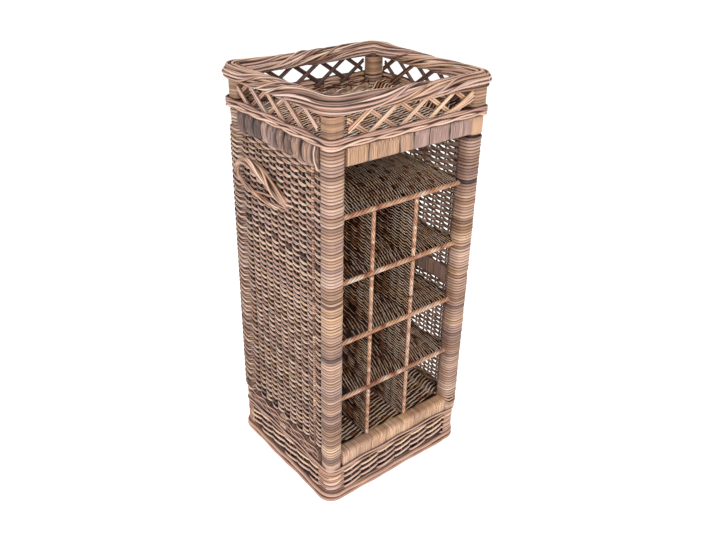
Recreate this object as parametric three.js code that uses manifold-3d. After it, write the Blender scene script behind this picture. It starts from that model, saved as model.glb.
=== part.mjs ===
// Rattan wine rack: a wickerwork cabinet with twelve bottle cells, an open shelf above them
// and a fenced tray on top. Millimetres, +Z up, front at -Y, origin under the middle of the base.
import * as THREE from 'three';
import { mergeVertices } from 'three/addons/utils/BufferGeometryUtils.js';
import Module from 'manifold-3d';

const wasm = await Module();
wasm.setup();

// Overall body, over the outer faces of the corner posts
const bodyWidth = 400;
const bodyDepth = 360;
const bodyHeight = 764; // underside of the bottom rails to the top of the top rails
const seatGap = 0.3; // clearance between pieces that rest on each other
const cutRoom = 1; // how far a bore runs past both ends of its piece

// Corner posts: a rattan pole in a square sleeve of wound cane
const postWidth = 38;
const postCorner = 13;
const poleDiameter = 22;

// Base: a thick foot border carries a coarse woven skirt
const footHeight = 28;
const footSpread = 15.7;
const footStrands = 2;
const footBulge = 1.6; // how far a strand stands out of its border
const footEdge = 3; // bevel under and over the strands
const skirtHeight = 60;
const skirtThickness = 11;
const skirtRows = 5;
const skirtBulge = 1.5;

// Rails between the posts: a rod wrapped in flat rattan peel
const railRodDiameter = 16;
const bottomRailHeight = 44;
const bottomRailDepth = 30;
const topRailHeight = 38;
const topRailDepth = 26;
const railCorner = 6;
const topPeelWidth = 30;
const bottomPeelWidth = 58;
const peelLap = 0.8; // how far each turn of peel stands over the next
const peelLapWidth = 2; // length over which the peel rises to that

// Woven walls, floor and tray deck
const wallThickness = 12; // over a stake
const wallWaist = 6; // midway between two stakes, where the strands cross over
const wallSetback = 4;
const sideStakePitch = 25.8;
const backStakePitch = 27;
const matThickness = 8;
const floorRise = 36; // underside of the bottom rails to the middle of the floor
const deckDrop = 10; // top of the top rails to the middle of the deck

// Bottle shelves and the upright dividers between them
const shelfCount = 4;
const shelfPitch = 145;
const frontRecess = 22; // face of the posts to the middle of the front rolls
const shelfRollDiameter = 12;
const dividerRollDiameter = 11;
const leftDividerX = -76;
const rightDividerX = 39;

// Middle rails inside the side walls, level with the third row of cells
const middleRailHeight = 40;
const middleRailDepth = 9;
const middleRailCorner = 3;
const middleRailRise = 46; // middle of the second shelf to the middle of the rail
const middleRailShelf = 2;

// Gallery round the tray: plaited band, crossed rods and rolled rim
const galleryHeight = 63;
const bandHeight = 23;
const bandThickness = 8;
const bandStrands = 3;
const bandBulge = 1.6;
const crossingsPerSide = 5;
const rodDiameter = 5.2;
const rodBite = 0.5; // how deep crossing rods press into each other
const rodSpread = 0.94; // distance between two rods of a pair, as a share of their diameter
const rimHeight = 35;
const rimWidth = 44;
const rimOverhang = 18;
const rimInnerRadius = 2;
const rimBulge = 1.5;
const rimFoot = 5; // the flat underside ends this far inside the outer strands
const rimShoulder = 9; // drop of the sides below the crown
const rimSideStrands = 3;
const rimTopStrands = 3;

// Flat cane wound round the posts inside the gallery
const caneTurns = 5;
const caneThickness = 2;
const caneEdge = 0.8; // rounding of its long edges
const caneGap = 0.5;

// Bow handles on the side walls
const handleSpan = 164;
const handleRearInset = 3; // rear post to the middle of the handle's rear end
const handleDrop = 154; // top of the top rails to the middle of the handle's ends
const handleRise = 52;
const handleReach = 25;
const handleArchLean = 1.15; // above 1 the arch leans to the rear
const handleGripRadius = 12;
const handleEndRadius = 6.5;
const handleStrands = 5;
const handleGroove = 0.16; // depth between two strands, as a share of the radius
const handleTwist = 1.6; // turns of the strands from end to end
const handleCordRadius = 4;

// Facets of the round forms
const cornerSteps = 4;
const caneCornerSteps = 3; // the cane and the packing under it
const railCornerSteps = 2;
const stakeSteps = 4; // facets of a woven wall from one stake to the next
const lobeSteps = 3;
const poleSides = 16;
const rodSides = 12;
const rollSides = 14;
const cordSides = 8;
const handleSteps = 36;

// Levels and planes worked out from the sizes above
const skirtTop = footHeight + skirtHeight;
const railBase = skirtTop;
const bottomRailTop = railBase + bottomRailHeight;
const railTop = railBase + bodyHeight;
const topRailBase = railTop - topRailHeight;
const rimBase = railTop + galleryHeight;
const bandTop = railTop + bandHeight;
const floorLevel = railBase + floorRise;
const deckLevel = railTop - deckDrop;
const halfWidth = bodyWidth / 2;
const halfDepth = bodyDepth / 2;
const postX = halfWidth - postWidth / 2;
const postY = halfDepth - postWidth / 2;
const clearHalfWidth = halfWidth - postWidth; // between the posts, seen from the front
const clearHalfDepth = halfDepth - postWidth;
const wallOuterX = halfWidth - wallSetback;
const wallInnerX = wallOuterX - wallThickness;
const wallOuterY = halfDepth - wallSetback;
const wallInnerY = wallOuterY - wallThickness;
const rollY = -halfDepth + frontRecess;
const handleMiddleY = clearHalfDepth - handleRearInset - handleSpan / 2;
const handleLevel = railTop - handleDrop;
const sleeveInset = caneThickness + seatGap;

// Finishes: greyed kubu rattan, honey peel and the shaded cores
const kubu = new THREE.MeshStandardMaterial({ color: '#a98d7b', roughness: 0.72, metalness: 0 });
const kubuDark = new THREE.MeshStandardMaterial({ color: '#7b6355', roughness: 0.78, metalness: 0 });
const peel = new THREE.MeshStandardMaterial({ color: '#c6a27e', roughness: 0.5, metalness: 0 });
const pole = new THREE.MeshStandardMaterial({ color: '#b48f66', roughness: 0.65, metalness: 0 });

const rack = new THREE.Group();

function addPiece(parent, name, geometry, material) {
  const mesh = new THREE.Mesh(geometry, material);
  mesh.name = name;
  parent.add(mesh);
  return mesh;
}

// A closed geometry as a solid that can be cut and joined
function toSolid(geometry) {
  const bare = geometry.clone();
  bare.deleteAttribute('normal');
  bare.deleteAttribute('uv');
  const merged = mergeVertices(bare, 1e-4);
  return new wasm.Manifold(new wasm.Mesh({
    numProp: 3,
    vertProperties: new Float32Array(merged.attributes.position.array),
    triVerts: new Uint32Array(merged.index.array),
  }));
}

function toGeometry(solid) {
  const mesh = solid.getMesh();
  const geometry = new THREE.BufferGeometry();
  geometry.setAttribute('position', new THREE.BufferAttribute(mesh.vertProperties, 3));
  geometry.setIndex(new THREE.BufferAttribute(mesh.triVerts, 1));
  geometry.computeVertexNormals();
  return geometry;
}

function box(low, high) {
  const size = high.map((value, axis) => value - low[axis]);
  const middle = high.map((value, axis) => (value + low[axis]) / 2);
  return new THREE.BoxGeometry(...size).translate(...middle);
}

function cylinder(radius, length, sides) {
  return new THREE.CylinderGeometry(radius, radius, length, sides).rotateX(Math.PI / 2);
}

// Flat outline pushed up along Z from zero
function plate(points, thickness) {
  const outline = new THREE.Shape(points.map(([x, y]) => new THREE.Vector2(x, y)));
  return new THREE.ExtrudeGeometry(outline, { depth: thickness, bevelEnabled: false });
}

// Points of a rectangle with round corners, counter-clockwise, centred on the origin
function roundedRectangle(width, height, radius, steps) {
  const points = [];
  const centres = [[1, 1], [-1, 1], [-1, -1], [1, -1]];
  centres.forEach(([signX, signY], corner) => {
    for (let step = 0; step <= steps; step += 1) {
      const angle = (corner + step / steps) * Math.PI / 2;
      points.push([
        signX * (width / 2 - radius) + radius * Math.cos(angle),
        signY * (height / 2 - radius) + radius * Math.sin(angle),
      ]);
    }
  });
  return points;
}

// Skin over rings of points that run counter-clockwise, seen from the end that the rings run to;
// open ends get a fan from their middle
function skin(rings, closed) {
  const count = rings[0].length;
  const positions = rings.flat(2);
  const triangles = [];
  const last = closed ? rings.length : rings.length - 1;
  for (let ring = 0; ring < last; ring += 1) {
    const next = (ring + 1) % rings.length;
    for (let point = 0; point < count; point += 1) {
      const after = (point + 1) % count;
      const a = ring * count + point;
      const b = ring * count + after;
      const c = next * count + after;
      const d = next * count + point;
      triangles.push(a, b, c, a, c, d);
    }
  }
  if (!closed) {
    [0, rings.length - 1].forEach((ring) => {
      const middle = [0, 1, 2].map((axis) => rings[ring].reduce((sum, p) => sum + p[axis], 0) / count);
      const hub = positions.length / 3;
      positions.push(...middle);
      for (let point = 0; point < count; point += 1) {
        const a = ring * count + point;
        const b = ring * count + (point + 1) % count;
        triangles.push(...(ring === 0 ? [hub, b, a] : [hub, a, b]));
      }
    });
  }
  const geometry = new THREE.BufferGeometry();
  geometry.setAttribute('position', new THREE.Float32BufferAttribute(positions, 3));
  geometry.setIndex(triangles);
  return geometry;
}

// A row of strands side by side from one point to another, each bulging out to the right of the line
function strands(from, to, count, bulge) {
  const humps = [[0, 0], [0.25, 1], [0.75, 1]];
  const along = [to[0] - from[0], to[1] - from[1]];
  const length = Math.hypot(...along);
  const out = [along[1] / length * bulge, -along[0] / length * bulge];
  const points = [];
  for (let strand = 0; strand < count; strand += 1) {
    humps.forEach(([share, lift]) => {
      const t = (strand + share) / count;
      points.push([
        from[0] + along[0] * t + out[0] * lift,
        from[1] + along[1] * t + out[1] * lift,
      ]);
    });
  }
  return points;
}

// A border that runs right round the rack. Its profile is [radius, z], counter-clockwise, where
// the radius is counted from the corner centres at (cornerX, cornerY).
function borderRing(cornerX, cornerY, profile) {
  const rings = [];
  [[1, 1], [-1, 1], [-1, -1], [1, -1]].forEach(([signX, signY], corner) => {
    for (let step = 0; step <= cornerSteps; step += 1) {
      const angle = (corner + step / cornerSteps) * Math.PI / 2;
      rings.push(profile.map(([radius, z]) => [
        signX * cornerX + radius * Math.cos(angle),
        signY * cornerY + radius * Math.sin(angle),
        z,
      ]));
    }
  });
  return skin(rings.reverse(), true);
}

// Corner posts

function makePole() {
  const length = rimBase - seatGap;
  return cylinder(poleDiameter / 2, length, poleSides).translate(0, 0, length / 2);
}

// Square sleeve of wound cane, drawn in at the gallery where flat cane is wound over it
function makeSleeve() {
  const base = railBase + seatGap;
  const length = rimBase - seatGap - base;
  const packing = postWidth - 2 * sleeveInset;
  const packingCorner = postCorner - sleeveInset;
  const lower = plate(roundedRectangle(postWidth, postWidth, postCorner, cornerSteps), bandTop - base);
  const upper = plate(roundedRectangle(packing, packing, packingCorner, caneCornerSteps), length);
  const bore = cylinder(poleDiameter / 2 + seatGap, length + 2 * cutRoom, poleSides)
    .translate(0, 0, length / 2);
  const sleeve = toSolid(lower).add(toSolid(upper)).subtract(toSolid(bore));
  return toGeometry(sleeve).translate(0, 0, base);
}

// One unbroken flat cane, wound in a rising spiral on the square packing
const windingRoom = rimBase - bandTop - 2 * seatGap;
const canePitch = (windingRoom + caneGap) / (caneTurns + 1);
const caneWidth = canePitch - caneGap;

function caneStations() {
  const inner = postWidth / 2 - caneThickness;
  const straight = inner - (postCorner - caneThickness);
  const radius = postCorner - caneThickness;
  const sideLength = 2 * straight;
  const arcLength = radius * Math.PI / 2;
  const stations = [];
  const corners = [[1, 1], [-1, 1], [-1, -1], [1, -1]];
  corners.forEach(([signX, signY], corner) => {
    const travelled = corner * (sideLength + arcLength);
    const sideAngle = corner * Math.PI / 2;
    stations.push({
      x: inner * Math.cos(sideAngle),
      y: inner * Math.sin(sideAngle),
      angle: sideAngle,
      travel: travelled,
    });
    for (let step = 0; step <= caneCornerSteps; step += 1) {
      const angle = sideAngle + step / caneCornerSteps * Math.PI / 2;
      stations.push({
        x: signX * straight + radius * Math.cos(angle),
        y: signY * straight + radius * Math.sin(angle),
        angle,
        travel: travelled + sideLength / 2 + step / caneCornerSteps * arcLength,
      });
    }
  });
  const perimeter = 4 * (sideLength + arcLength);
  return stations.map((station) => ({ ...station, share: station.travel / perimeter }));
}

function makeCane() {
  const base = bandTop + seatGap + caneWidth / 2;
  const edge = caneWidth / 2;
  const profile = [
    [0, -edge], [caneThickness - caneEdge, -edge], [caneThickness, caneEdge - edge],
    [caneThickness, edge - caneEdge], [caneThickness - caneEdge, edge], [0, edge],
  ];
  const turn = caneStations();
  const rings = [];
  for (let index = 0; index <= caneTurns * turn.length; index += 1) {
    const station = turn[index % turn.length];
    const height = base + (Math.floor(index / turn.length) + station.share) * canePitch;
    rings.push(profile.map(([out, up]) => [
      station.x + out * Math.cos(station.angle),
      station.y + out * Math.sin(station.angle),
      height + up,
    ]));
  }
  return { geometry: skin(rings.toReversed(), false), rings, perTurn: turn.length };
}

// Least distance between one turn of cane and the next
function leastCaneGap({ rings, perTurn }) {
  const sections = rings.map((ring) => ring.map((point) => new THREE.Vector3(...point)));
  let least = Infinity;
  for (let index = 0; index + perTurn < sections.length; index += 1) {
    sections.slice(index + perTurn - 1, index + perTurn + 2).flat().forEach((above) => {
      sections[index].forEach((below) => {
        least = Math.min(least, above.distanceTo(below));
      });
    });
  }
  return least;
}

const cane = makeCane();
console.log(`least gap between turns of gallery cane: ${leastCaneGap(cane).toFixed(2)} mm`);

const postPlaces = [
  ['front_left', -1, -1],
  ['front_right', 1, -1],
  ['rear_left', -1, 1],
  ['rear_right', 1, 1],
];
postPlaces.forEach(([place, signX, signY]) => {
  const post = new THREE.Group();
  post.position.set(signX * postX, signY * postY, 0);
  addPiece(post, `post_pole_${place}`, makePole(), pole);
  addPiece(post, `post_wrap_${place}`, makeSleeve(), kubu);
  addPiece(post, `gallery_cane_${place}`, cane.geometry, peel);
  rack.add(post);
});

// Base borders, both concentric with the corner poles

const borderInner = poleDiameter / 2 + seatGap;
const footOuter = borderInner + footSpread;
const footFace = footOuter - footBulge;
const footProfile = [
  [borderInner, 0],
  [footFace - footEdge, 0],
  ...strands([footFace, footEdge], [footFace, footHeight - footEdge], footStrands, footBulge),
  [footFace - footEdge, footHeight],
  [borderInner, footHeight],
];
addPiece(rack, 'foot_border', borderRing(postX, postY, footProfile), kubu);

const skirtFace = borderInner + skirtThickness - skirtBulge;
const skirtLow = footHeight + seatGap;
const skirtHigh = skirtTop - seatGap;
const skirtProfile = [
  [borderInner, skirtLow],
  ...strands([skirtFace, skirtLow], [skirtFace, skirtHigh], skirtRows, skirtBulge),
  [skirtFace, skirtHigh],
  [borderInner, skirtHigh],
];
addPiece(rack, 'base_skirt', borderRing(postX, postY, skirtProfile), kubu);

// Rails: a rod, and a wrap of lapped peel turns with a bore for it. Both lie along X at first.

function makeRailRod(length) {
  return cylinder(railRodDiameter / 2, length, rodSides).rotateY(Math.PI / 2);
}

function makeRailWrap(length, height, depth, peelWidth) {
  const turns = Math.max(2, Math.round(length / peelWidth));
  const full = roundedRectangle(depth, height, railCorner, railCornerSteps);
  const under = [depth - 2 * peelLap, height - 2 * peelLap];
  const tucked = roundedRectangle(...under, railCorner - peelLap, railCornerSteps);
  const lapWidth = Math.min(peelLapWidth, length / turns / 2);
  const rings = [];
  const ringAt = (outline, x) => outline.map(([y, z]) => [x, y, z]);
  for (let turn = 0; turn < turns; turn += 1) {
    const start = -length / 2 + turn * length / turns;
    rings.push(ringAt(turn === 0 ? full : tucked, start));
    rings.push(ringAt(full, start + lapWidth));
  }
  rings.push(ringAt(full, length / 2));
  const bore = cylinder(railRodDiameter / 2 + seatGap, length + 2 * cutRoom, rodSides)
    .rotateY(Math.PI / 2);
  return toGeometry(toSolid(skin(rings, false)).subtract(toSolid(bore)));
}

const railSides = [
  { side: 'front', turn: 0, length: 2 * clearHalfWidth, x: 0, y: -1 },
  { side: 'rear', turn: 0, length: 2 * clearHalfWidth, x: 0, y: 1 },
  { side: 'left', turn: Math.PI / 2, length: 2 * clearHalfDepth, x: -1, y: 0 },
  { side: 'right', turn: Math.PI / 2, length: 2 * clearHalfDepth, x: 1, y: 0 },
];
const railTiers = [
  {
    tier: 'bottom',
    base: railBase,
    height: bottomRailHeight,
    depth: bottomRailDepth,
    peelWidth: bottomPeelWidth,
  },
  {
    tier: 'top',
    base: topRailBase,
    height: topRailHeight,
    depth: topRailDepth,
    peelWidth: topPeelWidth,
  },
];
railTiers.forEach(({ tier, base, height, depth, peelWidth }) => {
  railSides.forEach(({ side, turn, length, x, y }) => {
    const rail = new THREE.Group();
    rail.position.set(x * (halfWidth - depth / 2), y * (halfDepth - depth / 2), base + height / 2);
    rail.rotation.z = turn;
    const cutLength = length - 2 * seatGap;
    addPiece(rail, `${tier}_rail_rod_${side}`, makeRailRod(cutLength), pole);
    const wrap = makeRailWrap(cutLength, height, depth, peelWidth);
    addPiece(rail, `${tier}_rail_wrap_${side}`, wrap, peel);
    rack.add(rail);
  });
});

// Woven walls between the posts, seated on the bottom rails and under the top rails. Each is a
// sheet along X at first, thick over its stakes and drawn in where the strands cross between them.

const wallLow = bottomRailTop + seatGap;
const wallHigh = topRailBase - seatGap;

function wovenSheet(reach, stakePitch) {
  const step = stakePitch / stakeSteps;
  const most = Math.ceil(reach / step) - 1;
  const places = [-reach];
  for (let index = -most; index <= most; index += 1) {
    places.push(index * step);
  }
  places.push(reach);
  const front = places.map((place) => {
    const swell = (1 + Math.cos(2 * Math.PI * place / stakePitch)) / 2;
    return [place, -(wallWaist + (wallThickness - wallWaist) * swell) / 2];
  });
  const back = front.map(([along, out]) => [along, -out]).reverse();
  return plate([...front, ...back], wallHigh - wallLow);
}

[['left', -1], ['right', 1]].forEach(([side, sign]) => {
  const sheet = wovenSheet(clearHalfDepth - seatGap, sideStakePitch).rotateZ(Math.PI / 2);
  const panel = addPiece(rack, `side_panel_${side}`, sheet, kubu);
  panel.position.set(sign * (wallOuterX - wallThickness / 2), 0, wallLow);
});
const backSheet = wovenSheet(clearHalfWidth - seatGap, backStakePitch);
const backPanel = addPiece(rack, 'back_panel', backSheet, kubuDark);
backPanel.position.set(0, wallOuterY - wallThickness / 2, wallLow);

// Mats that fill the inside of the body and are notched round the posts

function notchedMat(halfX, frontY, rearY, frontNotchY) {
  const notchX = clearHalfWidth - seatGap;
  const rearNotchY = clearHalfDepth - seatGap;
  return plate([
    [-notchX, frontY], [notchX, frontY], [notchX, frontNotchY], [halfX, frontNotchY],
    [halfX, rearNotchY], [notchX, rearNotchY], [notchX, rearY], [-notchX, rearY],
    [-notchX, rearNotchY], [-halfX, rearNotchY], [-halfX, frontNotchY], [-notchX, frontNotchY],
  ], matThickness);
}

const frontNotch = -clearHalfDepth + seatGap;
const floorHalfX = halfWidth - bottomRailDepth - seatGap;
const floorHalfY = halfDepth - bottomRailDepth - seatGap;
addPiece(rack, 'floor_panel', notchedMat(floorHalfX, -floorHalfY, floorHalfY, frontNotch), kubuDark)
  .position.z = floorLevel - matThickness / 2;

const deckHalfX = halfWidth - topRailDepth - seatGap;
const deckHalfY = halfDepth - topRailDepth - seatGap;
addPiece(rack, 'tray_deck', notchedMat(deckHalfX, -deckHalfY, deckHalfY, frontNotch), kubuDark)
  .position.z = deckLevel - matThickness / 2;

// Shelves: a mat woven round its front roll, which runs from post to post

function makeShelf() {
  const mat = notchedMat(wallInnerX - seatGap, rollY, wallInnerY - seatGap, frontNotch)
    .translate(0, 0, -matThickness / 2);
  const roll = cylinder(shelfRollDiameter / 2, 2 * (clearHalfWidth - seatGap), rollSides)
    .rotateY(Math.PI / 2)
    .translate(0, rollY, 0);
  return toGeometry(toSolid(mat).add(toSolid(roll)));
}

const shelfLevels = [];
for (let shelf = 1; shelf <= shelfCount; shelf += 1) {
  const level = floorLevel + shelf * shelfPitch;
  shelfLevels.push(level);
  addPiece(rack, `shelf_${shelf}`, makeShelf(), kubuDark).position.z = level;
}

// Dividers: a mat on edge with a front roll, standing between two tiers of shelves

// foot lists the points along the underside of the sheet, from its front roll to the rear wall
function makeDivider(foot, matHigh, rollHigh) {
  const rear = wallInnerY - seatGap;
  const head = [[rear, matHigh], [rollSeatY, matHigh], [rollSeatY, rollHigh], [rollY, rollHigh]];
  const sheet = plate([...foot, ...head], matThickness)
    .rotateX(Math.PI / 2)
    .rotateZ(Math.PI / 2)
    .translate(-matThickness / 2, 0, 0);
  const rollLow = foot[0][1];
  const length = rollHigh - rollLow;
  const roll = cylinder(dividerRollDiameter / 2, length, rodSides)
    .translate(0, rollY, rollLow + length / 2);
  return toGeometry(toSolid(sheet).add(toSolid(roll)));
}

const rollSeatY = rollY + shelfRollDiameter / 2 + seatGap;
const tierSeats = [floorLevel, ...shelfLevels];
for (let row = 1; row <= shelfCount; row += 1) {
  const below = tierSeats[row - 1];
  const above = tierSeats[row];
  const matLow = below + matThickness / 2 + seatGap;
  const matHigh = above - matThickness / 2 - seatGap;
  const rollLow = below + shelfRollDiameter / 2 + seatGap;
  const rollHigh = above - shelfRollDiameter / 2 - seatGap;
  const overRail = bottomRailTop + seatGap;
  const betweenRailsY = halfDepth - bottomRailDepth - seatGap;
  const rear = wallInnerY - seatGap;
  const foot = row === 1
    ? [[rollY, overRail], [-betweenRailsY, overRail], [-betweenRailsY, matLow],
      [betweenRailsY, matLow], [betweenRailsY, overRail], [rear, overRail]]
    : [[rollY, rollLow], [rollSeatY, rollLow], [rollSeatY, matLow], [rear, matLow]];
  [['left', leftDividerX], ['right', rightDividerX]].forEach(([side, x]) => {
    const divider = addPiece(
      rack,
      `divider_${row}_${side}`,
      makeDivider(foot, matHigh, rollHigh),
      kubuDark,
    );
    divider.position.x = x;
  });
}

// Middle rails: flat peel-wrapped bars on the inner faces of the side walls

const middleRailLevel = floorLevel + middleRailShelf * shelfPitch + middleRailRise;
[['left', -1], ['right', 1]].forEach(([side, sign]) => {
  const section = roundedRectangle(middleRailDepth, middleRailHeight, middleRailCorner, cornerSteps);
  const length = 2 * (clearHalfDepth - seatGap);
  const bar = plate(section, length).rotateX(Math.PI / 2);
  bar.translate(sign * (wallInnerX - seatGap - middleRailDepth / 2), length / 2, middleRailLevel);
  addPiece(rack, `middle_rail_${side}`, bar, peel);
});

// Gallery fence: pairs of rods side by side, crossing in two layers and pressed into each other

// Section of one pair, long side along the first axis
function rodPairSection() {
  const radius = rodDiameter / 2;
  const lobeArc = Math.PI * 5 / 6;
  const points = [];
  [0, 1].forEach((lobe) => {
    const centre = (lobe === 0 ? radius : -radius) * rodSpread;
    for (let step = 0; step <= lobeSteps; step += 1) {
      const angle = lobe * Math.PI + (step / lobeSteps - 0.5) * lobeArc;
      points.push([centre + radius * Math.cos(angle), radius * Math.sin(angle)]);
    }
  });
  return points;
}

// One pair leaning over half a crossing pitch to each side of its middle, in the given layer
function makeRodPair(middle, lean, pitch, layer) {
  const low = new THREE.Vector3(middle - lean * pitch / 2, layer, railTop);
  const high = new THREE.Vector3(middle + lean * pitch / 2, layer, rimBase);
  const run = high.clone().sub(low);
  const extra = run.clone().normalize().multiplyScalar(2 * rodDiameter);
  const along = run.clone().normalize();
  const depth = new THREE.Vector3(0, 1, 0);
  const across = depth.clone().cross(along);
  const geometry = plate(rodPairSection(), run.length() + 2 * extra.length());
  const start = low.sub(extra);
  geometry.applyMatrix4(new THREE.Matrix4().makeBasis(across, depth, along).setPosition(start));
  return toSolid(geometry);
}

// A fence lies along X, its outer face on y = 0 and its rods between two posts
function makeFence(postSpan, clearHalf) {
  const pitch = postSpan / crossingsPerSide;
  const layers = [rodDiameter / 2, rodDiameter * 1.5 - rodBite];
  let fence = null;
  for (let crossing = 0; crossing < crossingsPerSide; crossing += 1) {
    const middle = -postSpan / 2 + (crossing + 0.5) * pitch;
    [1, -1].forEach((lean, layer) => {
      const pair = makeRodPair(middle, lean, pitch, layers[layer]);
      fence = fence === null ? pair : fence.add(pair);
    });
  }
  const window = box(
    [-clearHalf + seatGap, -rodDiameter, railTop + seatGap],
    [clearHalf - seatGap, 3 * rodDiameter, rimBase - seatGap],
  );
  return toGeometry(fence.intersect(toSolid(window)));
}

const fenceSides = [
  { side: 'front', turn: 0, span: 2 * postX, clear: clearHalfWidth, x: 0, y: -halfDepth },
  { side: 'rear', turn: Math.PI, span: 2 * postX, clear: clearHalfWidth, x: 0, y: halfDepth },
  { side: 'left', turn: -Math.PI / 2, span: 2 * postY, clear: clearHalfDepth, x: -halfWidth, y: 0 },
  { side: 'right', turn: Math.PI / 2, span: 2 * postY, clear: clearHalfDepth, x: halfWidth, y: 0 },
];
fenceSides.forEach(({ side, turn, span, clear, x, y }) => {
  const fence = addPiece(rack, `gallery_lattice_${side}`, makeFence(span, clear), kubu);
  fence.position.set(x, y, 0);
  fence.rotation.z = turn;
});

// Plaited band outside the fence, round the sleeves of the posts

const sleeveCentreX = halfWidth - postCorner;
const sleeveCentreY = halfDepth - postCorner;
const bandInner = postCorner + seatGap;
const bandFace = bandInner + bandThickness - bandBulge;
const bandProfile = [
  [bandInner, railTop],
  ...strands([bandFace, railTop], [bandFace, bandTop], bandStrands, bandBulge),
  [bandFace, bandTop],
  [bandInner, bandTop],
];
addPiece(rack, 'gallery_band', borderRing(sleeveCentreX, sleeveCentreY, bandProfile), kubu);

// Rolled rim: strands laid side by side over a full round section, flat where it sits on the posts

const rimOuter = rimInnerRadius + rimWidth;
const rimCentreX = halfWidth + rimOverhang - rimOuter;
const rimCentreY = halfDepth + rimOverhang - rimOuter;
const rimTop = rimBase + rimHeight;
const rimFace = rimOuter - rimBulge;
const rimCrown = rimTop - rimBulge;
const rimSideLow = [rimFace, rimBase + rimFoot];
const rimSideHigh = [rimFace, rimTop - rimShoulder];
const rimCrownOuter = [rimOuter - rimShoulder, rimCrown];
const rimCrownInner = [rimInnerRadius + rimShoulder, rimCrown];
const rimProfile = [
  [rimInnerRadius + rimFoot, rimBase],
  [rimOuter - rimFoot, rimBase],
  ...strands(rimSideLow, rimSideHigh, rimSideStrands, rimBulge),
  ...strands(rimSideHigh, rimCrownOuter, 1, rimBulge),
  ...strands(rimCrownOuter, rimCrownInner, rimTopStrands, rimBulge),
  [rimInnerRadius, rimTop - rimShoulder],
  [rimInnerRadius, rimBase + rimFoot],
];
addPiece(rack, 'gallery_rim', borderRing(rimCentreX, rimCentreY, rimProfile), kubu);

// Bow handles: a rope of twisted strands that arches up and out over a cord laid on the wall

function handlePath(wall) {
  const front = handleMiddleY - handleSpan / 2;
  const path = [];
  for (let step = 0; step <= handleSteps; step += 1) {
    const t = (1 - Math.cos(step / handleSteps * Math.PI)) / 2;
    path.push(new THREE.Vector3(
      wall + handleReach * Math.sqrt(Math.sin(Math.PI * t)),
      front + handleSpan * t,
      handleLevel + handleRise * Math.sin(Math.PI * t ** handleArchLean),
    ));
  }
  path[0].x -= handleEndRadius;
  path[handleSteps].x -= handleEndRadius;
  return path;
}

// Section of the rope: strand after strand, each with two shoulders and a groove before it
function ropeSection(radius, turned) {
  const points = [];
  const strandArc = 2 * Math.PI / handleStrands;
  for (let strand = 0; strand < handleStrands; strand += 1) {
    [handleGroove, 0, 0].forEach((sunk, part, parts) => {
      const angle = turned + (strand + part / parts.length) * strandArc;
      const reach = radius * (1 - sunk);
      points.push([reach * Math.cos(angle), reach * Math.sin(angle)]);
    });
  }
  return points;
}

function makeHandle(sign) {
  const wall = wallOuterX + seatGap;
  const path = handlePath(wall);
  const middle = new THREE.Vector3(0, handleMiddleY, handleLevel);
  const rings = path.map((point, index) => {
    const before = path[Math.max(index - 1, 0)];
    const after = path[Math.min(index + 1, handleSteps)];
    const along = after.clone().sub(before).normalize();
    const side = along.clone().cross(middle.clone().sub(point)).normalize();
    const up = side.clone().cross(along);
    const share = index / handleSteps;
    const swell = Math.sin(Math.PI * share);
    const radius = handleEndRadius + (handleGripRadius - handleEndRadius) * swell;
    return ropeSection(radius, 2 * Math.PI * handleTwist * share).map(([across, above]) => point.clone()
      .addScaledVector(side, across)
      .addScaledVector(up, above)
      .toArray());
  });
  const cord = cylinder(handleCordRadius, handleSpan, cordSides)
    .rotateX(Math.PI / 2)
    .translate(wall + handleCordRadius, handleMiddleY, handleLevel);
  const insideWall = box(
    [0, -bodyDepth, 0],
    [wall, bodyDepth, railTop],
  );
  const rope = toSolid(skin(rings.reverse(), false)).add(toSolid(cord));
  const handle = toGeometry(rope.subtract(toSolid(insideWall)));
  return sign > 0 ? handle : mirrorX(handle);
}

function mirrorX(geometry) {
  const mirrored = geometry.clone().scale(-1, 1, 1);
  const index = Array.from(mirrored.index.array);
  for (let corner = 0; corner < index.length; corner += 3) {
    [index[corner + 1], index[corner + 2]] = [index[corner + 2], index[corner + 1]];
  }
  mirrored.setIndex(index);
  return mirrored;
}

addPiece(rack, 'handle_left', makeHandle(-1), kubu);
addPiece(rack, 'handle_right', makeHandle(1), kubu);

export default rack;
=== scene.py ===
import math

import bpy
import numpy as np
from mathutils import Matrix, Vector


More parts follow.
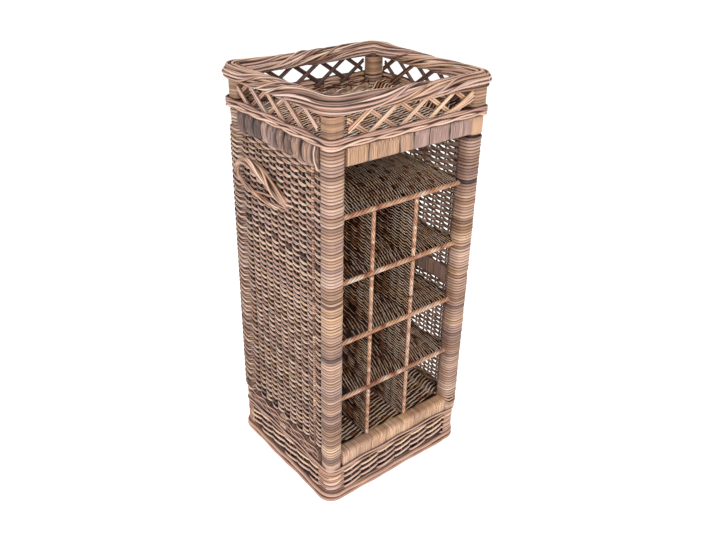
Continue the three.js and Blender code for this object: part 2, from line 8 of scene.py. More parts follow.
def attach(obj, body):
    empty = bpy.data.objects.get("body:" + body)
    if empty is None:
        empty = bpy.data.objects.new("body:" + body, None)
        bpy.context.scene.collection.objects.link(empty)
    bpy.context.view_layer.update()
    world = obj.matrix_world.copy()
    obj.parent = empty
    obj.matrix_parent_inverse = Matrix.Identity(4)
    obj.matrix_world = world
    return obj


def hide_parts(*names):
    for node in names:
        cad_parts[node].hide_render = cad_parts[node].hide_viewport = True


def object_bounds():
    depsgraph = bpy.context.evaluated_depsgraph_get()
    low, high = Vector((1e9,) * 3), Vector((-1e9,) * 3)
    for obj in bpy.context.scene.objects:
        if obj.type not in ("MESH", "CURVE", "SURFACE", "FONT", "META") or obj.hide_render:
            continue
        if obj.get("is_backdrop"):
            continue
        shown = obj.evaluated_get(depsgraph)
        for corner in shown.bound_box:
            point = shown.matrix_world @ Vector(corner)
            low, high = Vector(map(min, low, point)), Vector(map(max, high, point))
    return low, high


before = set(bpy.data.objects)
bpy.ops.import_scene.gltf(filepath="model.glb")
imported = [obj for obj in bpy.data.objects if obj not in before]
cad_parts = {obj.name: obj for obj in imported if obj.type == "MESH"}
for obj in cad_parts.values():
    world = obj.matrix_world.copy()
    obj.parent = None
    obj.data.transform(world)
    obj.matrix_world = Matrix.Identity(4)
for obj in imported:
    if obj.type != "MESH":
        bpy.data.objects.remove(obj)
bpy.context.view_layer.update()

# The rattan wine rack is dressed strand by strand. Lengths are millimetres until a mesh is made.
# Pairs such as "tone" and "hue" are a mean and a spread, drawn anew for each strand or strip.

rack = {
    "halfWidth": 200, "halfDepth": 180,
    "postWidth": 38, "postCorner": 13,
    "bottomRailTop": 132, "topRailBase": 814, "bandTop": 875,
    "clearX": 162, "clearY": 142,  # half the clear width and depth between the posts
    "rollY": -158, "rearY": 163.7,
    "floor": 124, "shelfPitch": 145, "deck": 842,
    "dividerX": {"left": -76, "right": 39},
}
postX = rack["halfWidth"] - rack["postWidth"] / 2
postY = rack["halfDepth"] - rack["postWidth"] / 2
bothSides = (("left", -1), ("right", 1))
posts = {
    "front_left": (-postX, -postY), "front_right": (postX, -postY),
    "rear_left": (-postX, postY), "rear_right": (postX, postY),
}


# how far a side lies from the middle, and half its clear width between the posts
def sideSize(side):
    if side in ("front", "rear"):
        return rack["halfDepth"], rack["clearX"]
    return rack["halfWidth"], rack["clearY"]


# Materials

def toLinear(hexColour):
    channels = [int(hexColour[i:i + 2], 16) / 255 for i in (1, 3, 5)]
    return [c / 12.92 if c <= 0.04045 else ((c + 0.055) / 1.055) ** 2.4 for c in channels] + [1]


def addNode(tree, kind, settings=None, links=None):
    node = tree.nodes.new(kind)
    for name, value in (settings or {}).items():
        if isinstance(name, int) or name in node.inputs:
            node.inputs[name].default_value = value
        else:
            setattr(node, name, value)
    for name, source in (links or {}).items():
        tree.links.new(source, node.inputs[name])
    return node


def addRamp(tree, colours, factor):
    ramp = addNode(tree, "ShaderNodeValToRGB", {}, {"Fac": factor})
    stops = ramp.color_ramp.elements
    while len(stops) < len(colours):
        stops.new(0.5)
    for i, hexColour in enumerate(colours):
        stops[i].position = i / (len(colours) - 1)
        stops[i].color = toLinear(hexColour)
    return ramp.outputs["Color"]


def makeRattan(name, look):
    # this attribute holds a strand's tone (dark to light, lowered by painted shade in places), its hue (mauve
    # to honey), and the dust and painted shade beside it
    material = bpy.data.materials.new(name)
    material.use_nodes = True
    tree = material.node_tree
    shader = tree.nodes["Principled BSDF"]
    finish = addNode(tree, "ShaderNodeAttribute", {"attribute_name": "finish"})
    fibre = addNode(tree, "ShaderNodeAttribute", {"attribute_name": "fibre"})
    parts = addNode(tree, "ShaderNodeSeparateXYZ", {}, {0: finish.outputs["Vector"]})
    place = addNode(tree, "ShaderNodeTexCoord")

    # grain runs along each strand, in turns per metre; across it is drawn several times coarser than the
    # real fibre bundles, about 0.3 mm wide, which would not show
    stretched = addNode(tree, "ShaderNodeVectorMath", {"operation": "MULTIPLY", 1: look["grainPerMetre"]},
                        {0: fibre.outputs["Vector"]})
    grain = addNode(tree, "ShaderNodeTexNoise", {"Scale": 1, "Detail": 5, "Roughness": 0.6},
                    {"Vector": stretched.outputs[0]})
    # broad patches shift the tone and hue
    patches = addNode(tree, "ShaderNodeTexNoise", {"Scale": look["patchPerMetre"], "Detail": 3},
                      {"Vector": place.outputs["Object"]})

    def shifted(source, base, gain):
        swing = addNode(tree, "ShaderNodeMath", {"operation": "MULTIPLY_ADD", 1: gain, 2: -gain / 2},
                        {0: source})
        total = addNode(tree, "ShaderNodeMath", {"operation": "ADD"}, {0: base, 1: swing.outputs[0]})
        return total.outputs[0]

    tone = shifted(grain.outputs["Fac"], parts.outputs[0], look["grainGain"])
    tone = shifted(patches.outputs["Fac"], tone, look["patchGain"])
    patchTint = addNode(tree, "ShaderNodeSeparateColor", {}, {0: patches.outputs["Color"]})
    hue = addNode(tree, "ShaderNodeMath", {"operation": "ADD", 1: 0, "use_clamp": True},
                  {0: shifted(patchTint.outputs[2], parts.outputs[1], look["hueGain"])})
    mauve, honey = (addRamp(tree, look[family], tone) for family in ("mauve", "honey"))
    coloured = addNode(tree, "ShaderNodeMix", {"data_type": "RGBA"}, {0: hue.outputs[0], 6: mauve, 7: honey})

    # dust and shadow sit where strands meet
    depth = addNode(tree, "ShaderNodeMath",
                    {"operation": "MULTIPLY", 1: look["grooveGain"], "use_clamp": True},
                    {0: parts.outputs[2]})
    dark = addNode(tree, "ShaderNodeMix", {"data_type": "RGBA", 7: toLinear(look["grooveColour"])},
                   {0: depth.outputs[0], 6: coloured.outputs[2]})
    tree.links.new(dark.outputs[2], shader.inputs["Base Color"])

    least, most = look["roughness"]
    gloss = addNode(tree, "ShaderNodeMapRange", {"To Min": least, "To Max": most},
                    {"Value": grain.outputs["Fac"]})
    tree.links.new(gloss.outputs[0], shader.inputs["Roughness"])
    shader.inputs["Specular IOR Level"].default_value = look["specular"]
    bump = addNode(tree, "ShaderNodeBump", {"Strength": look["bump"], "Distance": 0.0003},
                   {"Height": grain.outputs["Fac"]})
    tree.links.new(bump.outputs[0], shader.inputs["Normal"])
    return material


# each family of colours runs from dark to light
kubuLook = {
    "mauve": ["#3f2e31", "#6b524f", "#8f7169", "#ad8d82", "#c8a89b", "#e2c8bb"],
    "honey": ["#46301f", "#76563f", "#9c7558", "#bb9272", "#d3ad8b", "#e8cbab"],
    "grainPerMetre": (30, 420, 420), "grainGain": 0.45,
    "patchPerMetre": 11, "patchGain": 0.3, "hueGain": 1.0,
    # grooveColour is the dust and painted shade where strands meet
    "grooveColour": "#1d130f", "grooveGain": 0.8,
    "roughness": (0.42, 0.68), "specular": 0.4, "bump": 0.35,
}
# strands that keep more of the pink of the unpeeled rattan
pinkish = {
    "mauve": ["#412d2f", "#6e504c", "#936f66", "#b28b7e", "#cea697", "#e7c6b7"],
    "honey": ["#482f1e", "#79553d", "#a07355", "#c0906f", "#d9ab87", "#eec9a7"],
}
looks = {
    # greyed kubu rattan, split and woven: pinkish tan to mauve grey, matt, with dust and painted shade in the
    # hollows
    "kubu": {**kubuLook, **pinkish, "grooveGain": 0.95},
    # thick kubu strands of the borders, a little smoother
    "border": {**kubuLook, **pinkish, "grainPerMetre": (22, 380, 380), "grooveGain": 0.75,
               "roughness": (0.38, 0.6)},
    # round rattan core wound on the posts, with a soft sheen and thin dark lines of painted shade between the
    # turns
    "cane": {**kubuLook, "grooveGain": 0.72, "grainGain": 0.35, "hueGain": 0.9},
    # flat rattan peel of the rails, with fine straight grain
    "peel": {**kubuLook, "grainPerMetre": (7, 330, 330), "grainGain": 1.5, "patchGain": 0.2, "hueGain": 0.5,
             "grooveGain": 0.9, "roughness": (0.36, 0.55), "specular": 0.45, "bump": 0.25},
    # darker core of the shelves, dividers, floor and deck, with deeper painted shade in its gaps and a paler
    # top end painted as light against the shade inside the rack
    "inner": {**kubuLook,
              "mauve": ["#231210", "#5a3227", "#8f5643", "#c18970", "#e5b49a", "#fbdecb"],
              "honey": ["#29170e", "#623821", "#985e38", "#c28356", "#e0aa75", "#f7cea0"],
              "grooveColour": "#150c08", "grooveGain": 0.95, "specular": 0.25},
    # peeled rattan poles inside the posts and rails
    "pole": {**kubuLook, "grainPerMetre": (20, 500, 500)},
}
materials = {name: makeRattan("rattan_" + name, look) for name, look in looks.items()}
print("materials made")


# Strands

def seedOf(text):
    return sum(ord(letter) * (i + 7) for i, letter in enumerate(text)) * 31


def smoothNoise(random, count, knots, amount):
    values = random.normal(0, 1, knots + 3)
    at = np.linspace(0, knots, count)
    low = at.astype(int)
    t = at - low
    t = t * t * (3 - 2 * t)
    return amount * (values[low] * (1 - t) + values[low + 1] * t)


def smoothStep(value, low, high):
    t = np.clip((value - low) / (high - low), 0, 1)
    return t * t * (3 - 2 * t)


def columns(*parts):
    return np.column_stack(parts)


def unit(vectors):
    return vectors / np.linalg.norm(vectors, axis=-1, keepdims=True)


made = {"triangles": 0}


class Piece:
    def __init__(self, name):
        self.name = name
        self.random = np.random.default_rng(seedOf(name))
        self.points, self.fibre, self.finish, self.corners, self.sizes = [], [], [], [], []
        self.count = 0

    def pick(self, look, key, count=None):
        return self.random.normal(*look[key], count)

    # the tone and hue of one strand
    def colour(self, look, paler=0):
        return self.pick(look, "tone") + paler, self.pick(look, "hue")

    def keep(self, points, fibre, tone, hue, groove):
        first = self.count
        shape = points.shape[:-1]
        finish = np.stack([np.broadcast_to(part, shape) for part in (tone, hue, groove)], -1)
        self.points.append(points.reshape(-1, 3))
        self.fibre.append(fibre.reshape(-1, 3))
        self.finish.append(finish.reshape(-1, 3))
        self.count += len(self.points[-1])
        return first

    def faces(self, corners):
        self.corners.append(corners.ravel())
        self.sizes.append(np.full(len(corners), corners.shape[1]))

    # many strands of equal sample count: paths and outs are (strand, sample, xyz).
    # height runs from -1, behind its neighbours, to 1, in front of them, as seen along outs.
    def tubes(self, paths, outs, across, depth, tones, hues=0.5, sides=6, closed=False, square=1.0,
              edge=1.0, under=0.4, height=None, deep=0.0):
        paths = np.asarray(paths, float)
        m, n = paths.shape[:2]
        outs = np.broadcast_to(np.asarray(outs, float), paths.shape)

        def spread(value):
            value = np.asarray(value, float)
            return np.broadcast_to(value[:, None] if value.ndim == 1 else value, (m, n))[..., None]

        across, depth, tones, hues = spread(across), spread(depth), spread(tones), spread(hues)
        run = np.roll(paths, -1, 1) - np.roll(paths, 1, 1) if closed else np.gradient(paths, axis=1)
        run /= np.linalg.norm(run, axis=2, keepdims=True) + 1e-12
        side = np.cross(run, outs)
        side /= np.linalg.norm(side, axis=2, keepdims=True) + 1e-12
        up = np.cross(side, run)
        angle = (np.arange(sides) + 0.5) * 2 * math.pi / sides
        ca, sa = np.cos(angle), np.sin(angle)
        ca, sa = np.sign(ca) * abs(ca) ** square, np.sign(sa) * abs(sa) ** square
        points = (paths[:, :, None] + side[:, :, None] * (across * ca)[..., None]
                  + up[:, :, None] * (depth * sa)[..., None])
        steps = np.linalg.norm(np.diff(paths, axis=1, prepend=paths[:, :1]), axis=2)
        travelled = np.cumsum(steps, axis=1) + self.random.uniform(0, 5000, (m, 1))
        fibre = np.stack(np.broadcast_arrays(travelled[..., None], across * ca, depth * sa), -1) / 1000
        # dust and painted shade: darker at a strand's sides where it meets its neighbours, and on its
        # underside
        groove = edge * abs(ca) ** 2.5 + under * np.clip(-sa, 0, 1)
        groove = np.broadcast_to(groove, (m, n, sides))
        # painted shade where the strand passes behind its neighbours
        if height is not None:
            facing = np.asarray(height)[..., None] * np.sign(sa)
            groove = groove + deep * smoothStep(-facing, -0.35, 0.75)
        first = self.keep(points, fibre, tones, hues, np.clip(groove, 0, 1))
        strand = np.arange(m)[:, None, None] * n * sides
        sample = np.arange(n if closed else n - 1)[None, :, None]
        corner = np.arange(sides)[None, None, :]
        here, there = strand + sample * sides, strand + (sample + 1) % n * sides
        after = (corner + 1) % sides
        quads = np.stack([here + corner, there + corner, there + after, here + after], -1)
        self.faces(first + quads.reshape(-1, 4))
        if not closed:
            starts = strand[:, 0] + corner[0]
            self.faces(first + starts)
            self.faces((first + starts + (n - 1) * sides)[:, ::-1])

    # one strand; its sizes and colours are numbers, or go with the samples
    def strand(self, path, out, across, depth, tone, hue, sides=8, **more):
        parts = (np.atleast_1d(part)[None] for part in (across, depth, tone, hue))
        self.tubes(path[None], out, *parts, sides, **more)

    # a thin dark sheet in the middle of a close weave, painted shade that shows through the gaps, for each
    # (uLow, uHigh, vLow, vHigh)
    def shadeSheet(self, place, outward, patches):
        for uLow, uHigh, vLow, vHigh in patches:
            u = np.linspace(uLow, uHigh, 6)
            path = place(u, np.full(6, (vLow + vHigh) / 2), np.zeros(6))
            self.strand(path, outward, (vHigh - vLow) / 2, 0.3, 0.05, 0.5, 4, square=0.0, under=1)

    # one skin over a grid of points (station, around, xyz), closed round the second axis
    def skin(self, grid, fibre, tone, hue, groove):
        m, n = grid.shape[:2]
        first = self.keep(grid, fibre, tone, hue, groove)
        station = np.arange(m - 1)[:, None] * n
        around = np.arange(n)[None, :]
        after = (around + 1) % n
        quads = np.stack([station + around, station + after, station + n + after, station + n + around], -1)
        self.faces(first + quads.reshape(-1, 4))
        self.faces(first + np.arange(n)[None, ::-1])
        self.faces(first + (m - 1) * n + np.arange(n)[None])

    def build(self, material, slot, *nodes):
        points = np.concatenate(self.points) / 1000
        corners = np.concatenate(self.corners).astype(np.int32)
        sizes = np.concatenate(self.sizes)
        mesh = bpy.data.meshes.new(self.name)
        mesh.vertices.add(len(points))
        mesh.vertices.foreach_set("co", points.astype(np.float32).ravel())
        mesh.loops.add(len(corners))
        mesh.loops.foreach_set("vertex_index", corners)
        mesh.polygons.add(len(sizes))
        starts = np.concatenate([[0], np.cumsum(sizes)[:-1]]).astype(np.int32)
        mesh.polygons.foreach_set("loop_start", starts)
        mesh.polygons.foreach_set("use_smooth", np.ones(len(sizes), bool))
        mesh.update(calc_edges=True)
        for name, parts in (("fibre", self.fibre), ("finish", self.finish)):
            values = np.concatenate(parts).astype(np.float32).ravel()
            mesh.attributes.new(name, "FLOAT_VECTOR", "POINT").data.foreach_set("vector", values)
        mesh.materials.append(materials[material])
        shown = bpy.data.objects.new(self.name, mesh)
        bpy.context.scene.collection.objects.link(shown)
        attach(shown, "root")
        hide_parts(*nodes)
        made["triangles"] += int((sizes - 2).sum())


# Rounded rectangle round the origin: points, outward directions, distance travelled and the whole way round.
# It runs counterclockwise from the start of the corner at +x, +y.
def roundedPath(centreX, centreY, radius, spacing, arcSteps):
    signs = ((1, 1), (-1, 1), (-1, -1), (1, -1))
    points, outs = [], []
    for corner, (signX, signY) in enumerate(signs):
        for step in range(arcSteps + 1):
            angle = (corner + step / arcSteps) * math.pi / 2
            outs.append((math.cos(angle), math.sin(angle)))
            points.append((signX * centreX + radius * outs[-1][0], signY * centreY + radius * outs[-1][1]))
        length = 2 * (centreX if corner % 2 == 0 else centreY)
        nextX, nextY = signs[(corner + 1) % 4]
        x, y = nextX * centreX + radius * outs[-1][0], nextY * centreY + radius * outs[-1][1]
        parts = max(int(length / spacing), 1)
        lastX, lastY = points[-1]
        for part in range(1, parts):
            share = part / parts
            points.append((lastX + (x - lastX) * share, lastY + (y - lastY) * share))
            outs.append(outs[-1])
    points, outs = np.array(points), np.array(outs)
    gaps = np.linalg.norm(np.roll(points, -1, 0) - points, axis=1)
    apart = gaps > 1e-6
    points, outs, gaps = points[apart], outs[apart], gaps[apart]
    return points, outs, np.concatenate([[0], np.cumsum(gaps)[:-1]]), gaps.sum()


# Corner posts: round cane wound turn on turn over shaded packing, with smooth peel at the foot

postCane = {
    "pitch": 6.8, "thickness": 3.4, "low": 110, "high": 874, "spacing": 6.1, "jitter": 0.42,
    "tone": (0.58, 0.1), "hue": (0.4, 0.17), "turnTone": 0.08, "turnHue": 0.1, "longestRun": 7,
    "darkTurns": 0.14, "darker": 0.22, "shadeFrom": 640, "shadeTo": 790,
}
# how far each post swells, how far its lowest turns sag and how much painted shade darkens its uppermost
# turns, under the band
postShapes = {
    "front_left": {"swell": 1.0, "droop": 2, "topShade": 0},
    "front_right": {"swell": 2.4, "droop": 12, "topShade": 0.13},
    "rear_left": {"swell": -0.4, "droop": 2, "topShade": 0},
    "rear_right": {"swell": -0.4, "droop": 2, "topShade": 0},
}
# the packing is painted dark: painted shade between the turns and between the band and the rim
packing = {"levels": (88.3, 875.0, 875.3, 914.7), "rise": -4.4, "groove": 0.8, "tone": 0.12, "hue": 0.4}
footPeel = {"low": 88.4, "high": 111, "folds": 2, "rise": 1.2, "tone": (0.62, 0.06), "hue": (0.62, 0.15)}
topPeel = {"low": 812, "high": 853, "folds": 1, "rise": 1.2, "tone": (0.6, 0.03), "hue": (0.85, 0.1)}
# the end of the peel that stands up beside the front left post, under the band
looseEnd = {
    "knots": ((-203.5, -139, 853), (-204.5, -135.5, 838), (-204, -137, 822), (-202.5, -145, 807)),
    "across": 2.3, "depth": 1.0, "tone": 0.95, "hue": 0.3,
}


# a path wound round a rounded square: at each point its turn, its share of that turn, its place and
# the outward direction
def coil(straight, radius, spacing, arcSteps, turns):
    outline, outs, travel, around = roundedPath(straight, straight, radius, spacing, arcSteps)
    turn, at = np.divmod(np.arange(turns * len(outline)), len(outline))
    return turn, travel[at] / around, outline[at], outs[at]


def windCane(piece, centre, high, look, shape):
    half, corner = rack["postWidth"] / 2 + shape["swell"], rack["postCorner"] + shape["swell"]
    whole = int((high - look["low"]) / look["pitch"] - 1)
    turn, share, xy, outs = coil(half - corner, corner - look["thickness"] / 2, look["spacing"], 4, whole)
    wander = piece.random.normal(0, look["jitter"], (2, whole + 2))
    proud, rise = wander[:, turn] * (1 - share) + wander[:, turn + 1] * share
    z = look["low"] + look["pitch"] * (0.5 + turn + share) + rise
    # the last turns sag on the outer corner, towards the foot peel
    front = np.clip(-outs @ np.array((-math.copysign(0.2, centre[0]), 0.98)), 0, 1)
    z = z - shape["droop"] * front ** 2 * np.exp(-(turn / 3.0) ** 2)
    path = columns(xy + outs * proud[:, None] + centre, z)
    # one length of cane gives a few turns of nearly the same colour
    tones, hues = [], []
    while len(tones) < whole:
        length = piece.random.integers(1, look["longestRun"] + 1)
        tone, hue = piece.colour(look)
        tones += list(tone + piece.random.normal(0, look["turnTone"], length))
        hues += list(hue + piece.random.normal(0, look["turnHue"], length))
    tones, hues = np.array(tones[:whole]), np.array(hues[:whole])
    tones[piece.random.random(whole) < look["darkTurns"]] -= look["darker"]
    # painted shade on the uppermost turns
    shaded = tones[turn] - shape["topShade"] * smoothStep(z, look["shadeFrom"], look["shadeTo"])
    piece.strand(path, columns(outs, 0 * z), look["pitch"] / 2, look["thickness"] / 2, shaded, hues[turn],
                 edge=0.95)


# smooth peel round a post; levels are (z, rise, groove)
def sleevePeel(piece, centre, corner, levels, tone, hue, upright):
    straight = rack["postWidth"] / 2 - rack["postCorner"]
    outline, outs, travel = roundedPath(straight, straight, corner, 4, 5)[:3]
    rows, fibres, grooves = [], [], []
    for z, rise, groove in levels:
        xy = outline + outs * rise
        level = np.full(len(xy), float(z))
        rows.append(columns(xy + centre, level))
        grain = (level, travel) if upright else (travel, level)
        fibres.append(columns(*grain, 0 * travel) / 1000)
        grooves.append(np.full(len(xy), groove))
    piece.skin(np.array(rows), np.array(fibres), tone, hue, np.array(grooves))


def foldPeel(piece, centre, corner, look, upright):
    levels = []
    for k in range(look["folds"]):
        bottom = look["low"] + (look["high"] - look["low"]) * k / look["folds"]
        top = look["low"] + (look["high"] - look["low"]) * (k + 1) / look["folds"]
        for t, share in ((0.02, 0), (0.1, 0.75), (0.3, 1), (0.7, 0.95), (0.92, 0.7), (0.99, 0)):
            levels.append((bottom + (top - bottom) * t, look["rise"] * share, 0.55 * (1 - share)))
    sleevePeel(piece, centre, corner, levels, *piece.colour(look), upright)


for place, centre in posts.items():
    piece = Piece("wound_cane_" + place)
    isPeeled = place == "front_right"
    windCane(piece, centre, topPeel["low"] - 1 if isPeeled else postCane["high"], postCane, postShapes[place])
    packed = [(z, packing["rise"], packing["groove"]) for z in packing["levels"]]
    sleevePeel(piece, centre, rack["postCorner"], packed, packing["tone"], packing["hue"], True)
    peelCorner = rack["postCorner"] + postShapes[place]["swell"] - 2
    foldPeel(piece, centre, peelCorner, footPeel, False)
    if isPeeled:
        foldPeel(piece, centre, peelCorner, topPeel, True)
    if place == "front_left":
        knots = np.array(looseEnd["knots"])
        at = np.linspace(0, len(knots) - 1, 20)
        strip = columns(*(np.interp(at, range(len(knots)), axis) for axis in knots.T))
        piece.strand(strip, (-1, 0, 0), looseEnd["across"], looseEnd["depth"], looseEnd["tone"],
                     looseEnd["hue"])
    piece.build("cane", "wound_cane", "post_wrap_" + place)
print("posts wound:", made["triangles"], "triangles")


# Peel wrapped round a rail, strip by strip. along and out are unit directions.

def wrapPeel(piece, middle, along, out, length, depth, height, corner, look):
    outline, outs, travel = roundedPath(depth / 2 - corner, height / 2 - corner, corner, 5, 4)[:3]
    along, out, up = np.array(along, float), np.array(out, float), np.array((0, 0, 1.0))
    middle = np.array(middle, float)
    level = outline[:, 1] / (height / 2)
    facing = np.clip(outs[:, 0], 0, 1)
    at, count = -length / 2, 0
    rows, fibres, tones, hues, grooves = [], [], [], [], []
    while at < length / 2 - 0.01:
        isFirst = count == 0
        width = look["widths"][count] if count < len(look["widths"]) else piece.random.uniform(*look["strip"])
        count += 1
        if length / 2 - at - width < look["strip"][0] * 0.7:
            width = length / 2 - at
        isLast = at + width > length / 2 - 0.01
        tone, hue = piece.colour(look)
        if at + width / 2 > look["mauveFrom"]:
            hue, tone = hue - 0.75, tone - 0.1
        seam = piece.random.uniform(*look["seam"])
        lean = piece.random.normal(0, look["lean"])
        bulge = look["bulge"] * piece.random.uniform(0.7, 1.2)
        for t in np.concatenate([[0, 0.03], np.linspace(0.08, 0.92, look["samples"]), [0.97, 1]]):
            # fine ribs along the strip, not quite evenly spaced
            ripple = abs(math.sin(math.pi * look["ribs"] * (t + 0.035 * math.sin(9 * t + 5 * lean))))
            rise = bulge * math.sin(math.pi * t) ** 0.5 - look["lap"] * t + look["ribRise"] * ripple
            shift = at + 0.15 + (width - 0.3) * t + lean * level + look["curve"] * (level ** 2 - 0.5)
            shift = np.clip(shift, -length / 2, length / 2)
            offset = outline + outs * (rise * (0.4 + 0.6 * facing))[:, None]
            rows.append(middle + along * shift[:, None] + out * offset[:, :1] + up * offset[:, 1:])
            fibres.append(columns(travel, shift, 0 * travel + tone * 900) / 1000)
            tones.append(np.full(len(travel), tone))
            hues.append(np.full(len(travel), hue))
            closeness = max(1 - min(t, 1 - t) / look["seamWidth"], 0)
            between = look["ribShade"] * (1 - ripple) ** 2 * (0.6 + 0.4 * np.sin(5 * level + 60 * t))
            atEnd = isFirst and t < 0.5 or isLast and t > 0.5
            grooves.append(np.maximum(seam * closeness * (0.3 if atEnd else 1), between))
        at += width
    piece.skin(np.array(rows), np.array(fibres), np.array(tones), np.array(hues), np.array(grooves))


# section is a rail's depth, height and lower edge; the side top rails reach lower than the front one
plainRail = {
    "bulge": 0.6, "lap": 0.4, "lean": 0.6, "curve": 0.5, "seam": (0.2, 0.9), "seamWidth": 0.07,
    "mauveFrom": 999, "samples": 9, "ribs": 1, "ribRise": 0.0, "ribShade": 0.0, "widths": (),
}
rails = {
    "topFront": {
        **plainRail, "section": (26, 41, 814), "strip": (30, 60), "widths": (51, 77, 35, 42, 56),
        "curve": 1.2, "tone": (0.57, 0.04), "hue": (0.8, 0.1), "mauveFrom": 18, "seam": (1.2, 1.5),
        "seamWidth": 0.035, "samples": 60, "ribs": 17, "ribRise": 0.6, "ribShade": 0.95,
    },
    "topSide": {
        **plainRail, "section": (26, 49, 807), "strip": (23, 36), "bulge": 8.0, "lap": 1.5, "lean": 2.5,
        "curve": 7.0, "tone": (0.28, 0.16), "hue": (0.5, 0.34), "seam": (1.2, 1.5), "seamWidth": 0.22,
        "samples": 22, "ribs": 5, "ribRise": 1.2, "ribShade": 1.0,
    },
    "bottomFront": {
        **plainRail, "section": (30, 44, 88), "strip": (30, 52), "curve": 5.0, "tone": (0.56, 0.05),
        "hue": (0.95, 0.12), "seam": (0.3, 0.7), "samples": 30, "ribs": 9, "ribRise": 0.3, "ribShade": 0.45,
    },
    "bottomSide": {
        **plainRail, "section": (30, 44, 88), "strip": (18, 30), "bulge": 1.2, "curve": 1.5,
        "tone": (0.22, 0.14), "hue": (0.4, 0.25), "seam": (0.3, 0.9), "samples": 14, "ribs": 3,
        "ribRise": 0.5, "ribShade": 0.3,
    },
}
# the direction along each rail and the one out of the rack
railPlaces = {
    "front": ((1, 0, 0), (0, -1, 0)), "rear": ((-1, 0, 0), (0, 1, 0)),
    "left": ((0, -1, 0), (-1, 0, 0)), "right": ((0, 1, 0), (1, 0, 0)),
}
railCorner = 7
for side, (along, out) in railPlaces.items():
    reach, clear = sideSize(side)
    for tier in ("bottom", "top"):
        piece = Piece(tier + "_rail_peel_" + side)
        look = rails[tier + ("Front" if side in ("front", "rear") else "Side")]
        depth, height, low = look["section"]
        middle = np.array(out) * (reach - depth / 2) + np.array((0, 0, low + height / 2))
        wrapPeel(piece, middle, along, out, 2 * clear - 0.6, depth - look["bulge"], height - look["bulge"],
                 railCorner, look)
        piece.build("peel", "rattan_peel", tier + "_rail_wrap_" + side)
print("rails wrapped:", made["triangles"], "triangles")


# Weaving: rows of strands pass over and under stakes. place(u, v, w) turns weave coordinates
# into millimetres: u along the rows, v from row to row, w out of the sheet.

def weave(piece, rows, span, look, place, outward, slim=None):
    n = look["strands"]
    for row, v in enumerate(rows):
        low, high = span(v)
        count, knots = int((high - low) / look["sample"]), int((high - low) / look["knotEvery"])
        u = np.linspace(low, high, count)
        phase = math.pi * u / look["stakePitch"] + math.pi * (row % 2)
        swing = np.cos(phase)
        swing = np.sign(swing) * abs(swing) ** look["roundness"]
        opened = look["tight"] + (1 - look["tight"]) * abs(np.cos(phase))
        wander = smoothNoise(piece.random, count, knots, look["wander"])
        wander = wander + piece.random.normal(0, look["jitter"] * 0.5)
        thin = np.ones(count) if slim is None else slim(u, v)
        # the uppermost rows lie straight, side by side
        lively = 1 - 0.6 * smoothStep(v, look["calmFrom"], look["calmFrom"] + 6)
        paths = []
        for j in range(n):
            fan = (j - (n - 1) / 2) * look["height"] * opened
            slope = look["slant"] * lively * np.sin(phase)
            vv = v + fan + wander + slope + piece.random.normal(0, look["jitter"] * 0.4)
            ww = look["swing"] * lively * swing + piece.random.normal(0, look["outJitter"])
            ww = ww + look["middleProud"] * (j == n // 2)
            paths.append(place(u, vv, ww))
        tones = piece.pick(look, "tone") + piece.random.normal(0, look["strandTone"], (n, 1))
        tones = tones + np.stack([smoothNoise(piece.random, count, knots, look["mottle"]) for _ in range(n)])
        # painted shade given by the look
        tones = tones - look["shade"](u, v)
        hues = piece.pick(look, "hue") + piece.random.normal(0, look["strandHue"], (n, 1)) + 0 * tones
        outs = outward(u) if callable(outward) else outward
        piece.tubes(np.stack(paths), outs, look["height"] * 0.5 * look["fill"] * thin[None],
                    look["thick"] / 2, tones, hues, 6, edge=look["edge"], under=0,
                    height=np.stack([swing] * n), deep=look["deep"] * lively)


def standStakes(piece, stakes, low, high, look, place, outward):
    for u in stakes:
        path = place(np.full(8, u), np.linspace(low, high, 8), np.zeros(8))
        piece.strand(path, outward, look["stake"] / 2, look["stake"] * 0.4, look["stakeTone"], 0.5, 6)


# a roll of peel, wound at a slant, from one point to another
def rollPeel(piece, start, end, radius, look):
    sides, perTurn, pitch = 18, 6, look["pitch"]
    start, end = np.array(start, float), np.array(end, float)
    length = np.linalg.norm(end - start)
    along = (end - start) / length
    first = unit(np.cross(along, (0, 0, 1.0) if abs(along[2]) < 0.9 else (0, 1.0, 0)))
    second = np.cross(along, first)
    at = np.linspace(0, length, int(length / pitch * perTurn))
    angle = np.arange(sides) * 2 * math.pi / sides
    turned = at[:, None] / pitch + look["starts"] * angle[None] / (2 * math.pi)
    phase, turn = turned % 1, np.floor(turned).astype(int)
    if look["starts"] > 1:
        turn = turn % look["starts"]
    tones = piece.pick(look, "tone", turn.max() + 2)[turn]
    tones = tones + smoothNoise(piece.random, len(at), 24, look["mottle"])[:, None]
    hues = piece.pick(look, "hue", turn.max() + 2)[turn]
    reach = radius - 0.5 * phase ** 3 - 0.45 * (phase < 0.12)
    ring = np.cos(angle)[None, :, None] * first + np.sin(angle)[None, :, None] * second
    grid = start + at[:, None, None] * along + reach[..., None] * ring
    fibre = np.stack([angle * radius + 0 * at[:, None], at[:, None] + 0 * angle, tones * 900], -1) / 1000
    groove = np.clip(1 - np.minimum(phase, 1 - phase) * look["seam"], 0, 1)
    piece.skin(grid, fibre, tones, hues, groove)


# Side walls and back

